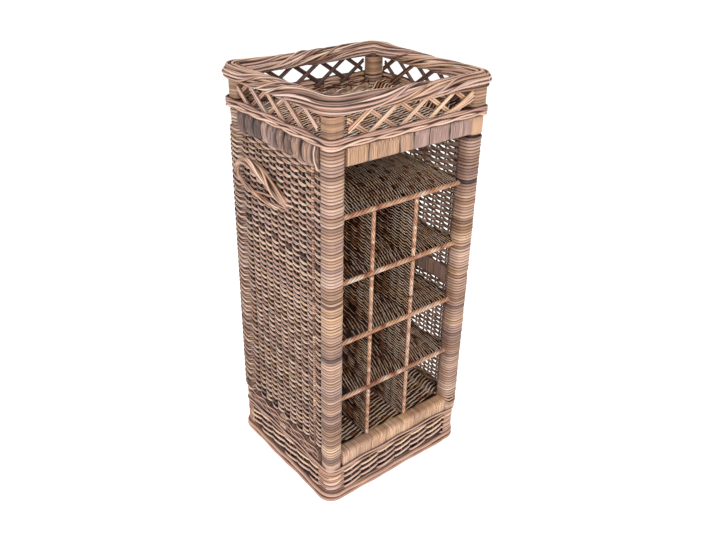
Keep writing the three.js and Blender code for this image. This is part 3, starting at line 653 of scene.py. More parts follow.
weaveJitter = {"knotEvery": 50, "outJitter": 0.15, "middleProud": 0.3, "strandHue": 0.15}
wallWeave = {
    **weaveJitter,
    "strands": 3, "height": 2.35, "fill": 1.06, "thick": 2.4, "swing": 4.2, "roundness": 0.8,
    "stakePitch": 25.8, "stake": 4.6, "stakeTone": 0.3, "sample": 4.3, "tight": 0.5, "slant": 1.7,
    "edge": 0.95, "deep": 1.45, "calmFrom": 779, "mottle": 0.09, "shade": lambda u, v: 0,
    "tone": (0.8, 0.14), "hue": (0.36, 0.24), "strandTone": 0.26, "wander": 0.6, "jitter": 0.5,
}
# the right wall is a little more open, and light shows through it; its strands and stakes are painted paler
# than the left wall's, with less painted shade behind them: painted light on its shaded inner face
openWeave = {
    "stakePitch": 28, "height": 2.4, "slant": 0.9, "tight": 0.8, "swing": 3.8, "roundness": 1.3,
    "tone": (1.1, 0.14), "edge": 0.6, "deep": 0.35, "stakeTone": 0.75,
}
backWeave = {**wallWeave, "tone": (0.6, 0.1), "stakePitch": 27}
backPlane = 170
# the rows lie closest half way up: (level, pitch)
rowPitches = np.array(((132, 7.0), (250, 6.6), (360, 6.0), (500, 5.9), (560, 6.4), (814, 6.5)))
wallRows = [rack["bottomRailTop"] + 3.0]
while wallRows[-1] < rack["topRailBase"] - 9:
    wallRows.append(wallRows[-1] + np.interp(wallRows[-1], rowPitches[:, 0], rowPitches[:, 1]))
wallLow, wallHigh = rack["bottomRailTop"] + 0.4, rack["topRailBase"] - 0.4

# the side rows leave the wall's plane, run on round the rear posts and end beside the back;
# they climb a little towards the rear, but lie level along both rails
sideRows = {
    "plane": 190.3, "front": -141.6, "ontoPost": (138, 148), "postPlane": 201.2,
    "turnFrom": 167, "turnCentre": 187, "turnRadius": 14.2, "end": 212,
    "climb": 0.06, "climbFrom": (135, 190), "climbTo": (730, 800),
}
# near the front of each side wall a stake wrapped in peel stands proud of the rows
wrappedStake = {
    "x": 193.9, "y": -118, "low": 134, "high": 812, "radius": 3.9, "pitch": 5.95,
    "tone": (0.5, 0.2), "hue": (0.55, 0.2), "seam": 2.4, "starts": 1, "mottle": 0.07,
}
# long strands cover the upper part of the bottom rail
railCover = {
    "levels": (129.5, 124.6, 119.7, 114.8, 109.9), "from": -141, "to": 160, "plane": 200.7, "swing": 1.9,
    "across": 2.5, "depth": 1.9, "darker": 0.2,
}


def wallPlace(sign, u, v, w):
    shape = sideRows
    onPost = smoothStep(u, *shape["ontoPost"])
    w = w * (1 - 0.7 * onPost)
    angle = np.clip((u - shape["turnFrom"]) / shape["turnRadius"], 0, math.pi / 2)
    past = np.maximum(u - shape["turnFrom"] - shape["turnRadius"] * math.pi / 2, 0)
    onCorner = shape["turnCentre"] + (shape["turnRadius"] + w) * np.cos(angle) - past
    flat = shape["plane"] + (shape["postPlane"] - shape["plane"]) * onPost + w
    turned = shape["turnFrom"] + (shape["turnRadius"] + w) * np.sin(angle)
    isTurned = u > shape["turnFrom"]
    fullTo, levelFrom = shape["climbTo"]
    climb = shape["climb"] * u * smoothStep(v, *shape["climbFrom"]) * smoothStep(-v, -levelFrom, -fullTo)
    return columns(sign * np.where(isTurned, onCorner, flat), np.where(isTurned, turned, u), v + climb)


def wallOut(sign, u):
    angle = np.clip((u - sideRows["turnFrom"]) / sideRows["turnRadius"], 0, math.pi / 2)
    return columns(sign * np.cos(angle), np.sin(angle), 0 * u)


# rows thin out near the rear post and under the top rail, where dark gaps show; on the right wall they
# close up beside the front post
def wallFullness(sign, u, v):
    nearRear = 0.26 * smoothStep(u, 104, 116) * smoothStep(-u, -150, -136)
    underRail = 0.14 * smoothStep(u, 35, 75) * (v > 772)
    besideFront = 0.3 * smoothStep(-u, 90, 112) if sign > 0 else 0
    return 1 - nearRear - underRail + besideFront


for side, sign in bothSides:
    piece = Piece("side_weave_" + side)
    place = lambda u, v, w: wallPlace(sign, u, v, w)
    look = wallWeave if sign < 0 else {**wallWeave, **openWeave}
    weave(piece, wallRows, lambda v: (sideRows["front"], sideRows["end"]), look, place,
          lambda u: wallOut(sign, u), lambda u, v: wallFullness(sign, u, v))
    for level in railCover["levels"]:
        u = np.linspace(railCover["from"], railCover["to"], 90)
        wave = level + 1.3 * np.sin(u / 23 + level) + piece.random.normal(0, 0.4)
        out = railCover["plane"] + railCover["swing"] * np.sin(u / 8.5 + level * 1.7)
        piece.strand(columns(sign * out, u, wave), (sign, 0, 0), railCover["across"], railCover["depth"],
                     *piece.colour(wallWeave, -railCover["darker"]))
    stakes = np.arange(-5, 6) * look["stakePitch"]
    standStakes(piece, stakes[abs(stakes) < 140], wallLow, wallHigh, look, place, (sign, 0, 0))
    if sign < 0:
        flat = lambda u, v, w: columns(sign * (sideRows["plane"] - 0.5) + 0 * u, u, v)
        piece.shadeSheet(flat, (sign, 0, 0), [(sideRows["front"], -sideRows["front"], wallLow, wallHigh)])
    ends = [(sign * wrappedStake["x"], wrappedStake["y"], wrappedStake[end]) for end in ("low", "high")]
    rollPeel(piece, *ends, wrappedStake["radius"], wrappedStake)
    piece.build("kubu", "kubu_weave", "side_panel_" + side)

piece = Piece("back_weave")
place = lambda u, v, w: columns(u, backPlane + w, v)
backReach = rack["clearX"] - 0.4
weave(piece, wallRows, lambda v: (-backReach, backReach), backWeave, place, (0, 1, 0))
standStakes(piece, np.arange(-5, 6) * backWeave["stakePitch"], wallLow, wallHigh, backWeave, place, (0, 1, 0))
piece.shadeSheet(place, (0, 1, 0), [(-backReach, backReach, wallLow, wallHigh)])
piece.build("kubu", "kubu_weave", "back_panel")
print("walls woven:", made["triangles"], "triangles")


# Mats: floor, shelves, dividers and tray deck, more closely woven

matWeave = {
    **weaveJitter,
    "strands": 1, "height": 2.3, "fill": 1.0, "thick": 1.9, "swing": 1.4, "roundness": 0.8,
    "stakePitch": 24, "stake": 3.0, "stakeTone": 0.3, "sample": 5.2, "tight": 0.85, "slant": 1.4,
    "edge": 0.6, "deep": 0.75, "calmFrom": 9999, "mottle": 0.26, "shade": lambda u, v: 0,
    "tone": (1.33, 0.22), "hue": (0.4, 0.28), "strandTone": 0.1, "wander": 0.8, "jitter": 0.6,
}
matRowPitch = 3.4
matStakes = np.arange(-5, 7) * matWeave["stakePitch"]
rolls = {
    "shelfRadius": 5.4, "shelfReach": 161.6, "dividerRadius": 4.6, "pitch": 12, "starts": 5, "seam": 2.2,
    "tone": (0.74, 0.04), "hue": (0.24, 0.2), "mottle": 0.13,
}
matFront = rack["rollY"] + 3  # mats start inside their front roll
betweenX, betweenY = rack["clearX"] - 1, rack["clearY"] - 1


# a shelf runs from its roll to the back, and shorter beside the posts
def shelfSpan(v):
    return (matFront, rack["rearY"]) if abs(v) < betweenX else (-betweenY, betweenY)


# the shelves' rows bow to the right between front and back, least at the sides
def shelfBow(u, v):
    behind = u + 155
    return (0.38 * behind - 0.00112 * behind ** 2) * np.maximum(1 - (v / 161) ** 2, 0)


# painted shade: the uppermost shelf darkens to the back; the covered ones are darker still behind and beside
# the left wall, with paler bands of painted light 62 mm apart
def shelfShade(k, u, v):
    if k == 4:
        return 0.4 * smoothStep(u - 0.5 * v, 40, 190)
    covered = 0.15 + 0.55 * smoothStep(u, -125, 20) + 0.75 * smoothStep(-v, 70, 135)
    return covered - 0.2 * np.cos(2 * math.pi * (u + 119) / 62)


shelfMat = {**matWeave, "tone": (1.26, 0.3), "mottle": 0.12, "edge": 0.55, "deep": 0.6}
for k in range(1, 5):
    z = rack["floor"] + k * rack["shelfPitch"]
    piece = Piece("shelf_weave_%d" % k)
    place = lambda u, v, w: columns(v + shelfBow(u, v), u, z + w)
    look = {**shelfMat, "shade": lambda u, v: shelfShade(k, u, v)}
    weave(piece, np.arange(-180, 181, matRowPitch), shelfSpan, look, place, (0, 0, 1))
    standStakes(piece, matStakes, -160, 160, matWeave, place, (0, 0, 1))
    flat = lambda u, v, w: columns(v, u, z + w)
    piece.shadeSheet(flat, (0, 0, 1), [(-155, 163, -161, 161), (-141, 141, -183, -161), (-141, 141, 161, 183)])
    ends = [(end * rolls["shelfReach"], rack["rollY"], z) for end in (-1, 1)]
    rollPeel(piece, *ends, rolls["shelfRadius"], rolls)
    piece.build("inner", "inner_weave", "shelf_%d" % k)

# the floor climbs over the side rails to the walls, and the deck over all four rails;
# backFrom is where the dark sheet of painted shade goes on past the posts
flatMat = {**matWeave, "height": 3.6, "thick": 2.3, "sample": 5.5}
flatRowPitch = 5.2
flatMats = {
    "floor_weave": {
        "node": "floor_panel", "level": rack["floor"], "halfX": 183, "halfY": 149, "climb": 8.5,
        "climbX": (150, 170), "climbY": None, "tone": (0.95, 0.18), "edgeShade": 0.0,
        "stakeReach": 141, "backFrom": betweenY,
    },
    "deck_weave": {
        "node": "tray_deck", "level": rack["deck"], "halfX": 196, "halfY": 172, "climb": 15,
        "climbX": (160, 176), "climbY": (140, 156), "tone": (1.15, 0.22), "edgeShade": 0.5,
        "stakeReach": 137, "backFrom": 157,
    },
}


def flatPlace(mat, u, v, w):
    climb = smoothStep(abs(u), *mat["climbX"])
    if mat["climbY"]:
        climb = np.maximum(climb, smoothStep(abs(v), *mat["climbY"]))
    return columns(u, v, mat["level"] + w + mat["climb"] * climb)


def flatSpan(mat, v):
    reach = mat["halfX"] if abs(v) < betweenY else betweenX
    return -reach, reach


# painted shade at the mats' edges, where they climb over the rails
def flatShade(mat, u, v):
    return mat["edgeShade"] * np.maximum(smoothStep(abs(u), 150, 166), smoothStep(abs(v), 138, 150))


for name, mat in flatMats.items():
    piece = Piece(name)
    place = lambda u, v, w: flatPlace(mat, u, v, w)
    look = {**flatMat, "tone": mat["tone"], "shade": lambda u, v: flatShade(mat, u, v)}
    weave(piece, np.arange(-mat["halfY"] + 2, mat["halfY"], flatRowPitch), lambda v: flatSpan(mat, v), look,
          place, (0, 0, 1))
    for u in np.arange(-7, 8) * matWeave["stakePitch"]:
        long = mat["stakeReach"] if abs(u) < betweenX else rack["clearY"] - 4
        standStakes(piece, (u,), -long, long, matWeave, place, (0, 0, 1))
    spans = ((-148, 148), (-mat["halfX"], 2 - rack["clearX"]), (rack["clearX"] - 2, mat["halfX"]))
    patches = [(low, high, -betweenY, betweenY) for low, high in spans]
    patches += [(-160, 160, mat["backFrom"], mat["halfY"]), (-160, 160, -mat["halfY"], -mat["backFrom"])]
    piece.shadeSheet(place, (0, 0, 1), patches)
    piece.build("inner", "inner_weave", mat["node"])

dividerMat = {**matWeave, "height": 2.15, "slant": -2.6, "tone": (0.84, 0.18), "deep": 0.7, "mottle": 0.18,
              "wander": 0.5}
# painted shade: a divider is pale from its front roll to this depth, with a dark stripe at the start, and
# dark behind
paleTo = {"left": -126, "right": -84}
railClear = rack["bottomRailTop"] + 1


def dividerShade(side, u):
    behind = smoothStep(u, paleTo[side] - 8, paleTo[side] + 10)
    return 0.6 * behind - 0.35 + 0.45 * np.exp(-((u + 141) / 6) ** 2)


for row in range(1, 5):
    below = rack["floor"] + (row - 1) * rack["shelfPitch"]
    above = below + rack["shelfPitch"]
    for side, x in rack["dividerX"].items():
        piece = Piece("divider_weave_%d_%s" % (row, side))
        place = lambda u, v, w: columns(x + w, u, v)
        # the lowest rows end at the rails
        span = lambda v: (-149, 149) if v < railClear else (matFront, rack["rearY"])
        look = {**dividerMat, "shade": lambda u, v: dividerShade(side, u)}
        weave(piece, np.arange(below + 6, above - 4, matRowPitch), span, look, place, (1, 0, 0))
        standStakes(piece, matStakes, below + 6, above - 6, matWeave, place, (1, 0, 0))
        piece.shadeSheet(place, (1, 0, 0), [(matFront, rack["rearY"], max(below + 5, railClear), above - 5)])
        low = wallLow if row == 1 else below + 6.0
        ends = [(x, rack["rollY"], level) for level in (low, above - 6.0)]
        rollPeel(piece, *ends, rolls["dividerRadius"], rolls)
        piece.build("inner", "inner_weave", "divider_%d_%s" % (row, side))
print("shelves and dividers woven:", made["triangles"], "triangles")


# Middle rails on the inner faces of the side walls

middleRail = {**plainRail, "x": 179.2, "z": 460, "length": 283, "depth": 8, "height": 39, "corner": 3,
              "strip": (14, 22), "tone": (0.64, 0.1), "hue": (0.35, 0.25), "curve": 0.6}
for side, sign in bothSides:
    piece = Piece("middle_peel_" + side)
    wrapPeel(piece, (sign * middleRail["x"], 0, middleRail["z"]), (0, 1, 0), (1, 0, 0), middleRail["length"],
             middleRail["depth"], middleRail["height"], middleRail["corner"], middleRail)
    piece.build("peel", "rattan_peel", "middle_rail_" + side)


# Borders laid round the rack. course gives a strand's place in the border's section, at each point
# of the path: how far out, how high, and the angle that its broad side faces.

def layStrand(piece, path, course, across, depth, tone, hue, sides=8, edge=1.0):
    points, outs = path[:2]
    out, up, facing = course
    line = columns(points + outs * out[:, None], up)
    front = columns(outs * np.cos(facing)[:, None], np.sin(facing))
    piece.strand(line, front, across, depth, tone, hue, sides, closed=True, edge=edge)


# a hidden dark sheet inside a border, at one place all the way round: painted shade where it shows between
# the strands; a core or ring in a border's dictionary is its place out and up, and its half width and half
# thickness
def layCore(piece, path, out, up, across, depth, tone, facing=0):
    level = 0 * path[2]
    layStrand(piece, path, (level + out, level + up, level + facing), across, depth, tone, 0.5)


# the share of the way from one corner's middle to the next at each point of a rounded path, the
# side that it lies on, and a full lap to take off before the first corner's middle
def sideTravel(path, centreX, centreY, radius):
    travel, around = path[2], path[3]
    arc = radius * math.pi / 2
    middles = np.cumsum([arc / 2, arc + 2 * centreX, arc + 2 * centreY, arc + 2 * centreX])
    ends = np.append(middles, middles[0] + around)
    shifted = np.where(travel < middles[0], travel + around, travel)
    side = np.clip(np.searchsorted(ends, shifted, side="right") - 1, 0, 3)
    share = (shifted - ends[side]) / (ends[side + 1] - ends[side])
    return side, share, np.where(travel < middles[0], 4, 0)


# Rolled rim: strands lie flat round the corners and climb over the top along the sides

rim = {
    "section": (171.6, 151.6, 24), "core": (10.5, 9.5),
    # level at the middle, and how it changes towards +x, towards +y and in the twist of both
    "level": (926.4, -1.6, -1.6, 1.9),
    "inner": {"count": 14, "width": 14.6, "height": 11.6, "quarters": 1, "across": 3.2, "depth": 2.8},
    "outer": {"count": 12, "width": 19.0, "height": 15.0, "quarters": 2, "across": 2.75, "depth": 2.6},
    "over": {"count": 5, "width": 20.6, "height": 16.6, "quarters": 3, "across": 2.4, "depth": 2.1},
    "middleHeight": 0.86, "tone": (0.7, 0.2), "hue": (0.27, 0.3), "edge": 1.35,
}
piece = Piece("rolled_rim")
rimPath = roundedPath(*rim["section"], 6, 9)
rimSide, rimShare, rimLap = sideTravel(rimPath, *rim["section"])
rimMiddle = smoothStep(rimShare, 0, 0.3) * smoothStep(1 - rimShare, 0, 0.3)
alongX, alongY = rimPath[0][:, 0] / rack["halfWidth"], rimPath[0][:, 1] / rack["halfDepth"]
rimLevel = sum(gain * part for gain, part in zip(rim["level"], (1, alongX, alongY, alongX * alongY)))


def rimCourse(layer, base, phase):
    swept = (rimSide - rimLap + smoothStep(rimShare, 0.1, 0.9)) * layer["quarters"] * math.pi / 2
    angle = base + swept + 0.17 * np.sin(rimShare * 9 + phase) * rimMiddle
    swell = 1 + 0.07 * np.sin(rimPath[2] / 31 + phase * 3)
    height = layer["height"] * (1 - (1 - rim["middleHeight"]) * rimMiddle)
    return (layer["width"] * swell * np.cos(angle), rimLevel + height * swell * np.sin(angle),
            np.arctan2(layer["width"] * np.sin(angle), layer["height"] * np.cos(angle)))


for layer in (rim["inner"], rim["outer"], rim["over"]):
    for k in range(layer["count"]):
        base = 2 * math.pi * (k + piece.random.uniform(-0.16, 0.16)) / layer["count"]
        if layer is rim["outer"]:
            # the outer strands lie in threes
            base = 2 * math.pi * (k // 3 * 3 + 0.84 * (k % 3)) / layer["count"]
        course = rimCourse(layer, base, piece.random.uniform(0, 6))
        layStrand(piece, rimPath, course, layer["across"], layer["depth"], *piece.colour(rim),
                  edge=rim["edge"])
layCore(piece, rimPath, 0, rimLevel, *rim["core"], 0.05)
piece.build("border", "kubu_border", "gallery_rim")


# Plaited band: four strands lie one above another and cross now and then, with a dip at each post

band = {
    "section": (187, 167, 19), "levels": (872.6, 867.6, 862.4, 857.4), "across": 2.6, "depth": 2.5,
    "dip": 2.6, "tone": (0.66, 0.13), "hue": (0.38, 0.28), "lowerPaler": 0.12,
    # the strands behind lie farther in and lower
    "behind": (-5.4, -2), "behindDepth": 1.8, "core": (-2.6, 863, 11.0, 0.8),
}
piece = Piece("plaited_band")
bandPath = roundedPath(*band["section"], 6, 7)
bandShare = sideTravel(bandPath, *band["section"])[1]
bandDip = band["dip"] * np.exp(-(np.minimum(bandShare, 1 - bandShare) / 0.06) ** 2)


def bandCourse(k):
    crossing = 2 * math.pi * bandShare * (2 if k < 2 else 3)
    upper, lower = band["levels"][k // 2 * 2:k // 2 * 2 + 2]
    swap = np.cos(crossing) * (0.5 if k % 2 else -0.5)
    wobble = 0.6 * np.sin(bandPath[2] / 41 + k * 2.1)
    out = 1.3 * np.sin(crossing) * (1 if k % 2 else -1)
    return out, (upper + lower) / 2 - (upper - lower) * swap * 1.04 + wobble - bandDip, 0 * bandShare


for k in range(4):
    out, up, facing = bandCourse(k)
    layStrand(piece, bandPath, (out, up, facing), band["across"], band["depth"],
              *piece.colour(band, band["lowerPaler"] * (k > 1)))
    behind, below = band["behind"]
    layStrand(piece, bandPath, (out + behind, up + below, facing + math.pi), band["across"],
              band["behindDepth"], *piece.colour(band))
layCore(piece, bandPath, *band["core"], 0.1)
piece.build("border", "kubu_border", "gallery_band")


# Foot border: thick smooth strands, two above each other on the outside and two behind them

foot = {
    "section": (173, 153, 28), "level": 14.6, "across": 5.5, "depth": 4.8, "tone": (0.74, 0.08),
    "hue": (0.15, 0.18), "lowDarker": 0.16, "lowThinner": 0.5, "core": (-6, 15, 13, 2.0),
}
piece = Piece("foot_strands")
footPath = roundedPath(*foot["section"], 7, 10)
for k in range(4):
    isLow = k > 1
    angle = math.pi / 4 + k * math.pi / 2 + 0.2 * np.sin(footPath[2] / 83 + k)
    wobble = 0.9 * np.sin(footPath[2] / 27 + k * 1.9) + 0.5 * np.sin(footPath[2] / 11 + k)
    course = (3.6 * np.cos(angle) + wobble, foot["level"] + 8.6 * np.sin(angle), 0 * angle)
    layStrand(piece, footPath, course, foot["across"] - foot["lowThinner"] * isLow, foot["depth"],
              *piece.colour(foot, -foot["lowDarker"] * isLow), 10)
layCore(piece, footPath, *foot["core"], 0.1)
piece.build("border", "kubu_border", "foot_border")


# Base skirt: thick strands over wide-set stakes; the top rows lie on the lower part of the rails

skirt = {
    "section": (175.5, 155.5, 22), "low": 28.5, "high": 87.5, "firstRow": 31, "rows": 9, "pitch": 8.3,
    "stakes": 28, "stakeShift": 0.55, "stake": (3.2, 2.4), "swing": 3.4, "across": 3.1, "depth": 2.4,
    "proud": 4.9, "railRows": 7, "railDarker": 0.38, "tone": (0.84, 0.14), "hue": (0.35, 0.26),
    "core": (-2, 58, 34, 0.6), "topRing": (-8, 87.2, 8, 0.3),
}
# short strands wind round each corner of the skirt
cornerWrap = {
    "low": 31.5, "high": 88, "pitch": 6.2, "out": 3.4, "reach": 33, "depth": 1.9, "tone": (0.6, 0.09),
    "hue": (0.6, 0.2),
}
piece = Piece("skirt_weave")
skirtPath = roundedPath(*skirt["section"], 5, 8)
skirtTravel, skirtAround = skirtPath[2:]
skirtShare = sideTravel(skirtPath, *skirt["section"])[1]
atCorner = np.exp(-(np.minimum(skirtShare, 1 - skirtShare) / 0.09) ** 2)
for row in range(skirt["rows"]):
    phase = math.pi * (skirtTravel / skirtAround * skirt["stakes"] + skirt["stakeShift"] + row)
    wobble = 0.8 * np.sin(skirtTravel / 61 + row * 2)
    onRail = row >= skirt["railRows"]
    level = skirt["firstRow"] + skirt["pitch"] * row + (1.2 if onRail else 3.0) * np.sin(phase) + wobble
    level = level - 5 * atCorner * row / skirt["rows"]
    swing = np.cos(phase)
    swing = np.sign(swing) * abs(swing) ** 0.55
    # outside the rails and posts the strands can't pass behind
    proud = smoothStep(level, 82, 88)
    out = skirt["swing"] * swing * (1 - 0.8 * proud) + skirt["proud"] * proud
    line = columns(skirtPath[0] + skirtPath[1] * out[:, None], level)
    across = skirt["across"] * (1 + 0.36 * swing * (1 - proud))
    piece.strand(line, columns(skirtPath[1], 0 * level), across, skirt["depth"],
                 *piece.colour(skirt, -skirt["railDarker"] * onRail), closed=True, edge=0.9,
                 height=swing * (1 - proud) + proud, deep=1.4)
for k in range(skirt["stakes"]):
    share = (k - skirt["stakeShift"]) % skirt["stakes"] / skirt["stakes"]
    i = int(np.argmin(abs(skirtTravel - share * skirtAround)))
    path = columns(np.tile(skirtPath[0][i], (5, 1)), np.linspace(skirt["low"], skirt["high"], 5))
    piece.strand(path, (*skirtPath[1][i], 0), *skirt["stake"], 0.3, 0.4, 6)
layCore(piece, skirtPath, *skirt["core"], 0.05)
# a flat dark ring of painted shade closes the notches beside the posts from below
layCore(piece, skirtPath, *skirt["topRing"], 0.1, math.pi / 2)
cornerX, cornerY, cornerRadius = skirt["section"]
for centre in posts.values():
    corner = np.array((cornerX, cornerY)) * np.sign(centre)
    spread = np.linspace(-1, 1, 25) * cornerWrap["reach"]
    bend = np.clip(spread / cornerRadius, -math.pi / 4, math.pi / 4)
    straight = spread - bend * cornerRadius
    # tangent and outward directions at the middle of the corner, turned by the bend
    angle = math.atan2(corner[1], corner[0]) // (math.pi / 2) * (math.pi / 2) + math.pi / 4 + bend
    outs = columns(np.cos(angle), np.sin(angle))
    runs = columns(-np.sin(angle), np.cos(angle))
    line = corner + outs * (cornerRadius + cornerWrap["out"]) + runs * straight[:, None]
    for level in np.arange(cornerWrap["low"], cornerWrap["high"], cornerWrap["pitch"]):
        z = level + piece.random.normal(0, 0.5) + 0.02 * spread * piece.random.normal()
        path = columns(line + outs * piece.random.normal(0, 0.3), z)
        piece.strand(path, columns(outs, 0 * z), cornerWrap["pitch"] / 2, cornerWrap["depth"],
                     *piece.colour(cornerWrap), edge=0.9)
piece.build("kubu", "kubu_weave", "base_skirt")
print("borders laid:", made["triangles"], "triangles")


# Gallery fence: pairs of rods that cross, and on the front a loose bundle that sweeps up to the post

fence = {
    "rod": 5.3, "apart": 7.6, "half": 46, "shortSide": 0.89, "crossing": 891, "rise": 62,
    "low": 858, "high": 918, "gapRod": 1.5, "gapTone": 0.02,
    "firstLean": {"front": 1, "left": -1, "rear": 1, "right": 1},
    # the rear and right rods are painted dark and the front and left ones pale: painted shade and light;
    # innerShade is painted shade on the inner rods
    "tone": {"front": (0.92, 0.08), "left": (0.88, 0.1), "rear": (0.1, 0.06), "right": (0.24, 0.08)},
    "innerShade": {"front": 0.08, "left": 0.26, "rear": 0.0, "right": 0.0},
    "hue": {"front": (0.75, 0.25), "left": (0.35, 0.3), "rear": (0.4, 0.3), "right": (0.4, 0.3)},
    "front": (-144, -77, 0, 72, 143), "rear": (-143, -70, 2, 74, 146),
    "left": (-129, -64, 0, 64, 128), "right": (-128, -63, 1, 65, 129),
}
# the loose bundle: each rod starts farther right and higher than the last, and all end at the post
bundle = {"rods": 4, "x": 66, "apart": 7, "end": 161, "z": 868, "higher": 2.5, "rise": 22, "steeper": 4.5,
          "bend": 1.6, "out": 1.4, "layer": 0.4, "thinner": 0.85}
fenceTurns = {"front": 0, "right": math.pi / 2, "rear": math.pi, "left": -math.pi / 2}


# a fence is made as if it stood on the front, then turned to its side
def layRod(piece, side, x, y, z, radius, isGap=False, shade=0):
    c, s = math.cos(fenceTurns[side]), math.sin(fenceTurns[side])
    tone = fence["gapTone"] if isGap else piece.pick(fence["tone"], side) - shade
    piece.strand(columns(c * x - s * y, s * x + c * y, z), (s, -c, 0), radius, radius, tone,
                 piece.pick(fence["hue"], side), edge=0.9, under=1 if isGap else 0.2)


for side in fenceTurns:
    piece = Piece("crossed_rods_" + side)
    reach, clear = sideSize(side)
    radius = fence["rod"] / 2
    half = fence["half"] * (1 if side in ("front", "rear") else fence["shortSide"])
    first = fence["firstLean"][side]
    for middle in fence[side]:
        for lean, layer in ((first, radius + 0.4), (-first, radius * 3 - 0.4)):
            # two rods and, between them, a thin dark rod of painted shade; a rod ends in the band and the
            # rim, or at a post
            for j in (-0.5, 0.5, 0):
                start = middle + j * fence["apart"] + piece.random.normal(0, 0.5) * (j != 0)
                ends = np.sort((np.array((-1, 1)) * (clear - radius - 0.4) - start) / (2 * half * lean))
                low, high = fence["crossing"] + fence["rise"] * np.clip(ends, -0.5, 0.5)
                z = np.linspace(max(low, fence["low"]), min(high, fence["high"]), 14)
                t = (z - fence["crossing"]) / fence["rise"]
                layRod(piece, side, start + 2 * half * lean * t, -reach + layer + 0 * t, z,
                       radius if j else fence["gapRod"], not j, fence["innerShade"][side] * (lean != first))
    if side == "front":
        for k in range(bundle["rods"]):
            t = np.linspace(0, 1, 24)
            start = bundle["x"] + bundle["apart"] * k
            climb = (bundle["rise"] + bundle["steeper"] * k) * t ** bundle["bend"]
            z = bundle["z"] + bundle["higher"] * k + climb
            y = -reach + radius - bundle["out"] + bundle["layer"] * k + 0 * t
            layRod(piece, side, start + (bundle["end"] - start) * t, y, z, radius * bundle["thinner"])
    piece.build("border", "kubu_border", "gallery_lattice_" + side)


# Flat cane wound edge to edge on the posts inside the gallery

galleryCane = {
    "straight": 5.4, "radius": 12.6, "turns": 6, "pitch": 6.6, "width": 6.9, "thickness": 1.8, "sink": 3.5,
    "tone": (0.43, 0.05), "hue": (1.0, 0.2), "fuller": {"front_right": 2.4},
}
for place, centre in posts.items():
    piece = Piece("flat_cane_" + place)
    straight = galleryCane["straight"] + galleryCane["fuller"].get(place, 0)
    turn, share, xy, outs = coil(straight, galleryCane["radius"], 3, 7, galleryCane["turns"])
    z = rack["bandTop"] - galleryCane["sink"] + galleryCane["pitch"] * (turn + share)
    tones, hues = (piece.pick(galleryCane, key, galleryCane["turns"])[turn] for key in ("tone", "hue"))
    piece.strand(columns(xy + centre, z), columns(outs, 0 * z), galleryCane["width"] / 2,
                 galleryCane["thickness"] / 2, tones, hues, 10, square=0.45, edge=0.3, under=0)
    piece.build("peel", "rattan_peel", "gallery_cane_" + place)


# Handles: a bundle of thin strands rises from its front foot, arches out, curls down at the rear
# and runs back along the wall. The course is (y, z, out from the wall, bundle radius).

handle = {
    "course": (
        (-32, 692, -2, 5.5), (-16, 707, 5, 8.0), (3, 722, 10, 9.8), (24, 738, 14, 10.6), (46, 751, 17, 9.8),
        (72, 759, 20, 8.0), (100, 757, 22, 6.2), (124, 742, 20, 5.0), (134, 722, 15, 4.4),
        (131, 707, 11, 4.2), (117, 696, 8, 4.2), (97, 689, 6, 4.4), (76, 684, 4, 4.6), (50, 680, 2, 4.4),
        (22, 678, 0, 4.0), (0, 680, -3, 3.2),
    ),
    "wall": 196, "samples": 110, "strands": 12, "thick": 2.8, "turns": 1.2, "fuller": 1.14,
    "tone": (0.66, 0.2), "hue": (0.4, 0.3), "heart": 1.25, "heartTone": 0.1, "edge": 1.3,
    # loose ends along the wall: (level, from, to)
    "loose": ((704, -58, -8), (699, 10, 96), (692, -40, 12)), "looseX": 198.4, "looseSize": (2.3, 2.2),
}


def smoothCourse(knots, count):
    knots = np.array(knots, float)
    padded = np.vstack([2 * knots[0] - knots[1], knots, 2 * knots[-1] - knots[-2]])
    at = np.linspace(0, len(knots) - 1.0001, count)
    i = at.astype(int)
    t = (at - i)[:, None]
    a, b, c, d = (padded[i + k] for k in range(4))
    return 0.5 * (2 * b + (c - a) * t + (2 * a - 5 * b + 4 * c - d) * t ** 2
                  + (3 * b - a - 3 * c + d) * t ** 3)


for side, sign in bothSides:
    piece = Piece("handle_rope_" + side)
    mirror = np.array((sign, 1, 1))
    course = smoothCourse(handle["course"], handle["samples"])
    core = columns(handle["wall"] + course[:, 2], course[:, 0], course[:, 1])
    run = unit(np.gradient(core, axis=0))
    lateral = unit(np.cross(run, (1.0, 0, 0)))
    above = np.cross(lateral, run)
    share = np.linspace(0, 1, len(core))
    for k in range(handle["strands"] + 1):
        isHeart = k == handle["strands"]
        angle = 2 * math.pi * (k / handle["strands"] + handle["turns"] * share)
        angle = angle + 0.5 * np.sin(share * 11 + k * 2)
        reach = course[:, 3] * handle["fuller"] - 2.0
        reach = reach * (0.82 + 0.22 * np.sin(share * 17 + k * 3)) * (not isHeart)
        ring = lateral * np.cos(angle)[:, None] + above * np.sin(angle)[:, None]
        path = (core + ring * reach[:, None]) * mirror
        thick = handle["thick"] * (0.7 + 0.3 * smoothStep(course[:, 3], 3, 7))
        thick = thick * (handle["heart"] if isHeart else 1)
        # the heart is a dark strand in the middle of the bundle: painted shade between the strands
        tone = handle["heartTone"] if isHeart else piece.pick(handle, "tone")
        piece.strand(path, ring * mirror, thick, thick * 0.85, tone, piece.pick(handle, "hue"),
                     edge=handle["edge"])
    for level, low, high in handle["loose"]:
        y = np.linspace(low, high, 24)
        z = level - 0.12 * (y - low) + 1.5 * np.sin(y / 23)
        path = columns(np.full(24, sign * handle["looseX"]), y, z)
        piece.strand(path, (sign, 0, 0), *handle["looseSize"], *piece.colour(handle))
    piece.build("border", "kubu_border", "handle_" + side)
print("gallery and handles made:", made["triangles"], "triangles")


# Poles and rods stay as they are, in the rattan pole material

